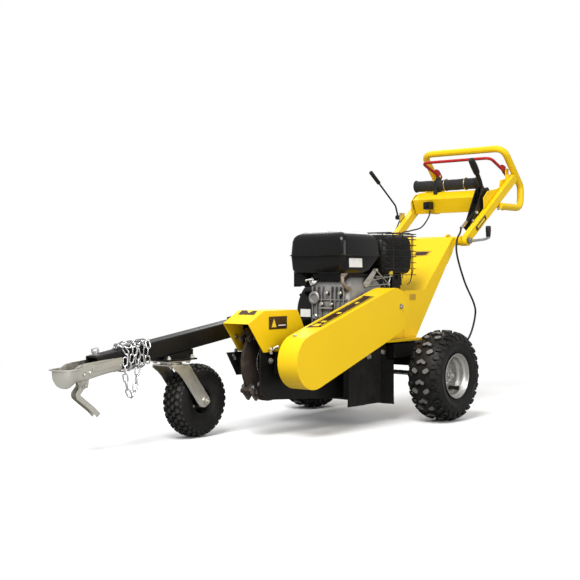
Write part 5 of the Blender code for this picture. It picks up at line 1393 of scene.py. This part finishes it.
def belt():
    """Toothed V belt round the two pulleys."""
    y = -0.216
    centres = ((CUTTER.x, CUTTER.z, 0.0549), (CRANK.x, CRANK.z, 0.0489))
    (x0, z0, r0), (x1, z1, r1) = centres
    lean = math.atan2(z1 - z0, x1 - x0)
    spread = math.acos((r0 - r1) / math.hypot(x1 - x0, z1 - z0))
    path = []
    for k in range(25):
        a = lean + spread + (2 * math.pi - 2 * spread) * k / 24
        path.append(Vector((x0 + r0 * math.cos(a), y, z0 + r0 * math.sin(a))))
    for k in range(21):
        a = lean - spread + 2 * spread * k / 20
        path.append(Vector((x1 + r1 * math.cos(a), y, z1 + r1 * math.sin(a))))
    bm = new()
    vee = [(-0.0058, -0.0045), (0.0058, -0.0045), (0.0082, 0.004), (-0.0082, 0.004)]
    sweep(bm, path, vee, FAR, True)
    piece("drive_belt_loop", bm, RUBBER, "chassis", bevel=0.0004, smooth=50, replaces="drive_belt")


# ------------------------------------------------------------------------------------------- handle

def document_pouch():
    """Cloth tube for papers: slack skin, folded end caps, strap, piping and two rings."""
    middle, radius, y0, y1 = Vector((0.628, 0, 0.99)), 0.0258, -0.128, 0.208
    bm = new()
    rings, steps, around = [], 40, 36
    ends = [(y0, 0.3), (y0 + 0.0006, 0.78), (y0 + 0.003, 0.95)]
    body = [(y0 + 0.008 + (y1 - y0 - 0.016) * k / steps, None) for k in range(steps + 1)]
    for y, scale in ends + body + [(y0 + y1 - y, s) for y, s in reversed(ends)]:
        t = (y - y0) / (y1 - y0)
        ring = []
        for k in range(around):
            a = 2 * math.pi * k / around
            slack = 0.02 * math.sin(3 * a + 14 * t) + 0.016 * math.sin(5 * a - 31 * t)
            slack += 0.012 * math.sin(47 * t + a)
            band = -0.07 if 0.69 < t < 0.72 or 0.655 < t < 0.665 else 0.0
            r = radius * ((1 - 0.03 + slack * 0.6 + band) if scale is None else scale)
            sag = 0.0015 * math.sin(math.pi * t)
            ring.append((middle.x + r * math.cos(a), y, middle.z + r * math.sin(a) - sag))
        rings.append(ring)
    loft(bm, rings)
    piece("document_pouch", bm, CLOTH, "handle", smooth=60, replaces="document_tube")
    bm = new()
    for y, width in ((0.0825, 0.0105), (y0 + 0.006, 0.0018), (y1 - 0.006, 0.0018)):
        loop = [middle + Vector((0.0268 * math.cos(a), y, 0.0268 * math.sin(a)))
                for a in (2 * math.pi * k / 32 for k in range(32))]
        section = [(-width, -0.001), (-width, 0.001), (width, 0.001), (width, -0.001)]
        sweep(bm, loop, section, FAR, True)
    tail = catmull([(0.602, 0.0825, 0.985), (0.599, 0.0825, 0.962), (0.601, 0.0835, 0.938),
                    (0.598, 0.085, 0.918)])
    sweep(bm, tail, flat_bar(0.0095, 0.0008), BACK)
    piece("pouch_strap", bm, CLOTH, "handle", smooth=50)
    bm = new()
    for y in (0.04, -0.066):
        lathe(bm, wire_ring(0.027, 0.0022), middle + Vector((0, y, 0)), FAR, 32)
    piece("pouch_rings", bm, BRASS, "handle", "zinc", smooth=50)


def brake_lever():
    """Hand lever: round grip, neck and the twin plates on the pivot; with the cable's link and clamp."""
    y, link_y = -0.16, -0.17
    pivot_x, pivot_z = 0.6, 0.925
    bm = new()
    path = catmull([(0.508, y, 1.084), (0.53, y, 1.062), (0.549, y, 1.041), (0.562, y, 1.024)])
    count = len(path)
    tube(bm, path, 0.0158, 16, FAR, False,
         [0.62 + 0.38 * math.sin(math.pi * min(1.0, (k + 1.2) / count)) ** 0.4 for k in range(count)])
    neck = rounded([(0.556, y, 1.032), (0.585, y, 0.994), (0.607, y, 0.95), (pivot_x, y, pivot_z)], 0.02)
    tube(bm, neck, 0.01, 12)
    piece("brake_lever_grip", bm, PLASTIC, "brake_hand_lever", smooth=45, replaces="brake_lever")
    bm = new()
    plate = [(0.58, 0.89), (0.604, 0.896), (0.622, 0.922), (0.622, 0.944), (0.604, 0.972), (0.584, 0.964),
             (0.576, 0.925)]
    for side in (-1, 1):
        side_plate(bm, plate, y, side, 0.0065, 0.01)
    rod(bm, (pivot_x, y - 0.0135, pivot_z), (pivot_x, y + 0.012, pivot_z), 0.0055, 16, 0.001)
    piece("brake_lever_plates", bm, BLACK, "brake_hand_lever", bevel=0.0005, replaces="brake_lever")
    bm = new()
    for x, z in ((pivot_x, pivot_z), (0.52, 0.85), (0.49, 0.812)):
        bolt(bm, (x, -0.18, z), NEAR, 0.008)
    rod(bm, (0.433, link_y, 0.792), (0.405, link_y, 0.778), 0.0065, 12, 0.001)
    piece("brake_pins", bm, STEEL, "handle", smooth=30)
    bm = new()
    rod(bm, (0.452, link_y, 0.806), (0.43, link_y, 0.79), 0.0075, 6, 0.0006)
    piece("brake_adjuster", bm, BRASS, "handle", smooth=30)
    bm = new()
    link = [(0.598, 0.918), (0.56, 0.88), (0.5, 0.838), (0.45, 0.804)]
    tube(bm, catmull([(x, link_y, z) for x, z in link]), 0.0065, 10)
    piece("brake_link", bm, BLACK, "handle", smooth=50)


def bail_sleeve():
    """Thick red dip coating along the bail's rod."""
    bm = new()
    near, far, front, top = -0.176, 0.188, 0.652, 1.102
    path = rounded([(0.772, near, 1.0545), (front, near, top), (front, far, top),
                    (0.772, 0.1762, 1.0545)], 0.03, 6)
    tube(bm, path, 0.007, 14, UP)
    piece("bail_coating", bm, RED, "bail", smooth=60)


def clamp_and_throttle():
    """Clamping crank: threaded rod, nut, arm and turned knob; and the throttle's bolts."""
    bm = new()
    y = CLAMP_Y
    turned(bm, [(0.015, 0), (0.015, 0.002), (0.013, 0.002), (0.013, 0.01), (0.009, 0.0115)],
           (TILT.x, y + 0.01, TILT.z), NEAR, 6)
    rod(bm, (TILT.x, y + 0.01, TILT.z), (TILT.x, y - 0.012, TILT.z), 0.006, 14, 0.001)
    tube(bm, rounded([(0.398, y - 0.006, 0.72), (0.44, y - 0.012, 0.7245), (0.48, y - 0.026, 0.73),
                      (0.504, y - 0.03, 0.738)], 0.012), 0.006, 12)
    piece("clamp_arm", bm, STEEL, "clamp", smooth=35, replaces="clamp_crank")
    bm = new()
    lathe(bm, [(0, 0), (0.0085, 0), (0.01, 0.006), (0.0118, 0.03), (0.0118, 0.044), (0.0095, 0.051),
               (0, 0.052)], (0.505, y - 0.026, 0.737), UP, 24)
    piece("clamp_knob", bm, PLASTIC, "clamp", smooth=45, replaces="clamp_crank")
    bm = new()
    for x, z in ((0.52, 0.842), (0.548, 0.842)):
        bolt(bm, (x, 0.231, z), NEAR, 0.008)
    for s in (-1, 1):
        for x, z in ((0.668, 0.884), (0.705, 0.884)):
            bolt(bm, (x, s * SIDE_BOLT_Y, z - 0.01), (0, s, 0), 0.008)
        bolt(bm, (TILT.x, s * SIDE_BOLT_Y, TILT.z), (0, s, 0), 0.01)
        bolt(bm, (0.782, s * 0.173, 1.048), (0, -s, 0), 0.007)
    piece("handle_bolts", bm, STEEL, "handle", smooth=30)


def cables():
    """Brake, stop-switch and throttle cables from the tilting handle down to the machine."""
    def cable(name, points, radius):
        bm = new()
        tube(bm, catmull(points, 8), radius, 10, BACK)
        obj = piece(name, bm, PLASTIC, None, smooth=60)
        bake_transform(obj)
    cable("brake_cable", [(0.405, -0.17, 0.778), (0.38, -0.182, 0.758), (0.3225, -0.2, 0.723),
                          (0.3143, -0.205, 0.659), (0.36, -0.215, 0.545), (0.43, -0.22, 0.45),
                          (0.45, -0.214, 0.395), (0.42, -0.205, 0.31), (0.32, -0.21, 0.255),
                          (0.18, -0.225, 0.225), (0.07, -0.238, 0.214), (0.03, -0.24, 0.215)], 0.0042)
    cable("switch_cable", [(0.56, 0.085, 0.868), (0.548, 0.088, 0.835), (0.495, 0.092, 0.79),
                           (0.41, 0.096, 0.772), (0.33, 0.1, 0.752), (0.24, 0.104, 0.662),
                           (0.13, 0.108, 0.555), (0.04, 0.112, 0.496), (-0.1, 0.11, 0.47)], 0.0032)
    cable("throttle_cable", [(0.53, 0.228, 0.84), (0.495, 0.224, 0.795), (0.43, 0.216, 0.73),
                             (0.33, 0.2, 0.64), (0.2, 0.188, 0.56), (0.06, 0.182, 0.525),
                             (-0.03, 0.16, 0.542), (-0.08, 0.066, 0.575)], 0.003)


# ------------------------------------------------------------------------------------------- studio

# The camera that took the photo, solved from the wheels and the machine's long straight edges.
CAMERA_AT = (-3.298, -2.573, 0.5806)
CAMERA_HEADING = 39.8               # degrees from +X, level
LENS, LENS_SHIFT = 66.41, -0.0286   # millimetres; part of the picture's width
FLOOR = 12                          # half the floor's width


def light(name, location, target, energy, size):
    """A soft rectangular lamp aimed at a point."""
    data = bpy.data.lights.new(name, "AREA")
    data.energy = energy
    data.shape, data.size, data.size_y = "RECTANGLE", size[0], size[1]
    obj = bpy.data.objects.new(name, data)
    obj.location = location
    obj.rotation_euler = (Vector(target) - Vector(location)).to_track_quat("-Z", "Y").to_euler()
    bpy.context.scene.collection.objects.link(obj)


def pale_floor():
    """Near-white to the camera, mid grey to the light that bounces off it, fading into the backdrop."""
    g = Graph("pale_floor")
    path = g.tree.nodes.new("ShaderNodeLightPath").outputs["Is Camera Ray"]
    tone = g.mix(g.noise(1.5), (0.9, 0.9, 0.9), (0.93, 0.93, 0.93))
    g.put("Base Color", g.mix(path, (0.34, 0.34, 0.34), tone))
    g.put("Roughness", 0.9)
    g.put("Specular IOR Level", 0.1)
    g.bump(g.noise(300.0), 0.05)
    reach = g.tree.nodes.new("ShaderNodeVectorMath")
    reach.operation = "LENGTH"
    g.link(g.coords, reach.inputs[0])
    far = g.math("MULTIPLY", path, g.ramp(reach.outputs["Value"], 1.4, 3.4))
    glow = g.tree.nodes.new("ShaderNodeEmission")
    blend = g.tree.nodes.new("ShaderNodeMixShader")
    g.link(far, blend.inputs[0])
    g.link(g.shader.outputs[0], blend.inputs[1])
    g.link(glow.outputs[0], blend.inputs[2])
    g.link(blend.outputs[0], g.tree.nodes["Material Output"].inputs["Surface"])
    return g.material


def backdrop():
    """Plain white seen directly, a dim even sky for everything it lights."""
    world = bpy.data.worlds.new("studio")
    bpy.context.scene.world = world
    world.use_nodes = True
    tree = world.node_tree
    sky = tree.nodes["Background"]
    sky.inputs["Color"].default_value = (1, 1, 1, 1)
    pick = tree.nodes.new("ShaderNodeMapRange")
    pick.inputs["To Min"].default_value, pick.inputs["To Max"].default_value = 0.55, 1.0
    tree.links.new(tree.nodes.new("ShaderNodeLightPath").outputs["Is Camera Ray"], pick.inputs["Value"])
    tree.links.new(pick.outputs["Result"], sky.inputs["Strength"])


def studio():
    """Pale floor, soft lights and the camera."""
    bm = new()
    corners = [bm.verts.new((x, y, 0)) for x, y in oblong(-FLOOR, FLOOR, -FLOOR, FLOOR)]
    bm.faces.new(corners)
    floor = piece("floor", bm, pale_floor(), None)
    backdrop()
    target = (0, 0, 0.4)
    light("key", (-3.2, -1.0, 4.6), target, 330, (2.6, 2.6))
    light("fill", (-1.2, -4.4, 1.8), target, 75, (3.0, 2.2))
    light("back", (3.2, 2.4, 3.0), target, 60, (2.5, 2.0))
    data = bpy.data.cameras.new("camera")
    data.sensor_width, data.lens, data.shift_y = 36.0, LENS, LENS_SHIFT
    data.clip_start, data.clip_end = 0.1, 100.0
    camera = bpy.data.objects.new("camera", data)
    camera.location = CAMERA_AT
    camera.rotation_euler = (math.radians(90), 0, math.radians(CAMERA_HEADING - 90))
    bpy.context.scene.collection.objects.link(camera)
    bpy.context.scene.camera = camera
    bpy.context.scene.view_settings.view_transform = "Standard"


# --------------------------------------------------------------------------------------- run it all

def build():
    """Every step in turn."""
    finish_cad_nodes()
    for name, side in (("left", -1), ("right", 1)):
        rear_tyre(name, side)
        rear_wheel(name, side)
    for step in (brake, caster_wheel, safety_chain, drawbar_tube, ball_coupling, coupling_latch, caster_fork,
                 towing_details, fuel_tank, crankcase, engine_fittings, shroud_details, air_cleaner, muffler,
                 muffler_cage, labels, covers, cutter_details, flaps, belt, document_pouch, brake_lever,
                 bail_sleeve, clamp_and_throttle, cables, studio):
        step()


build()
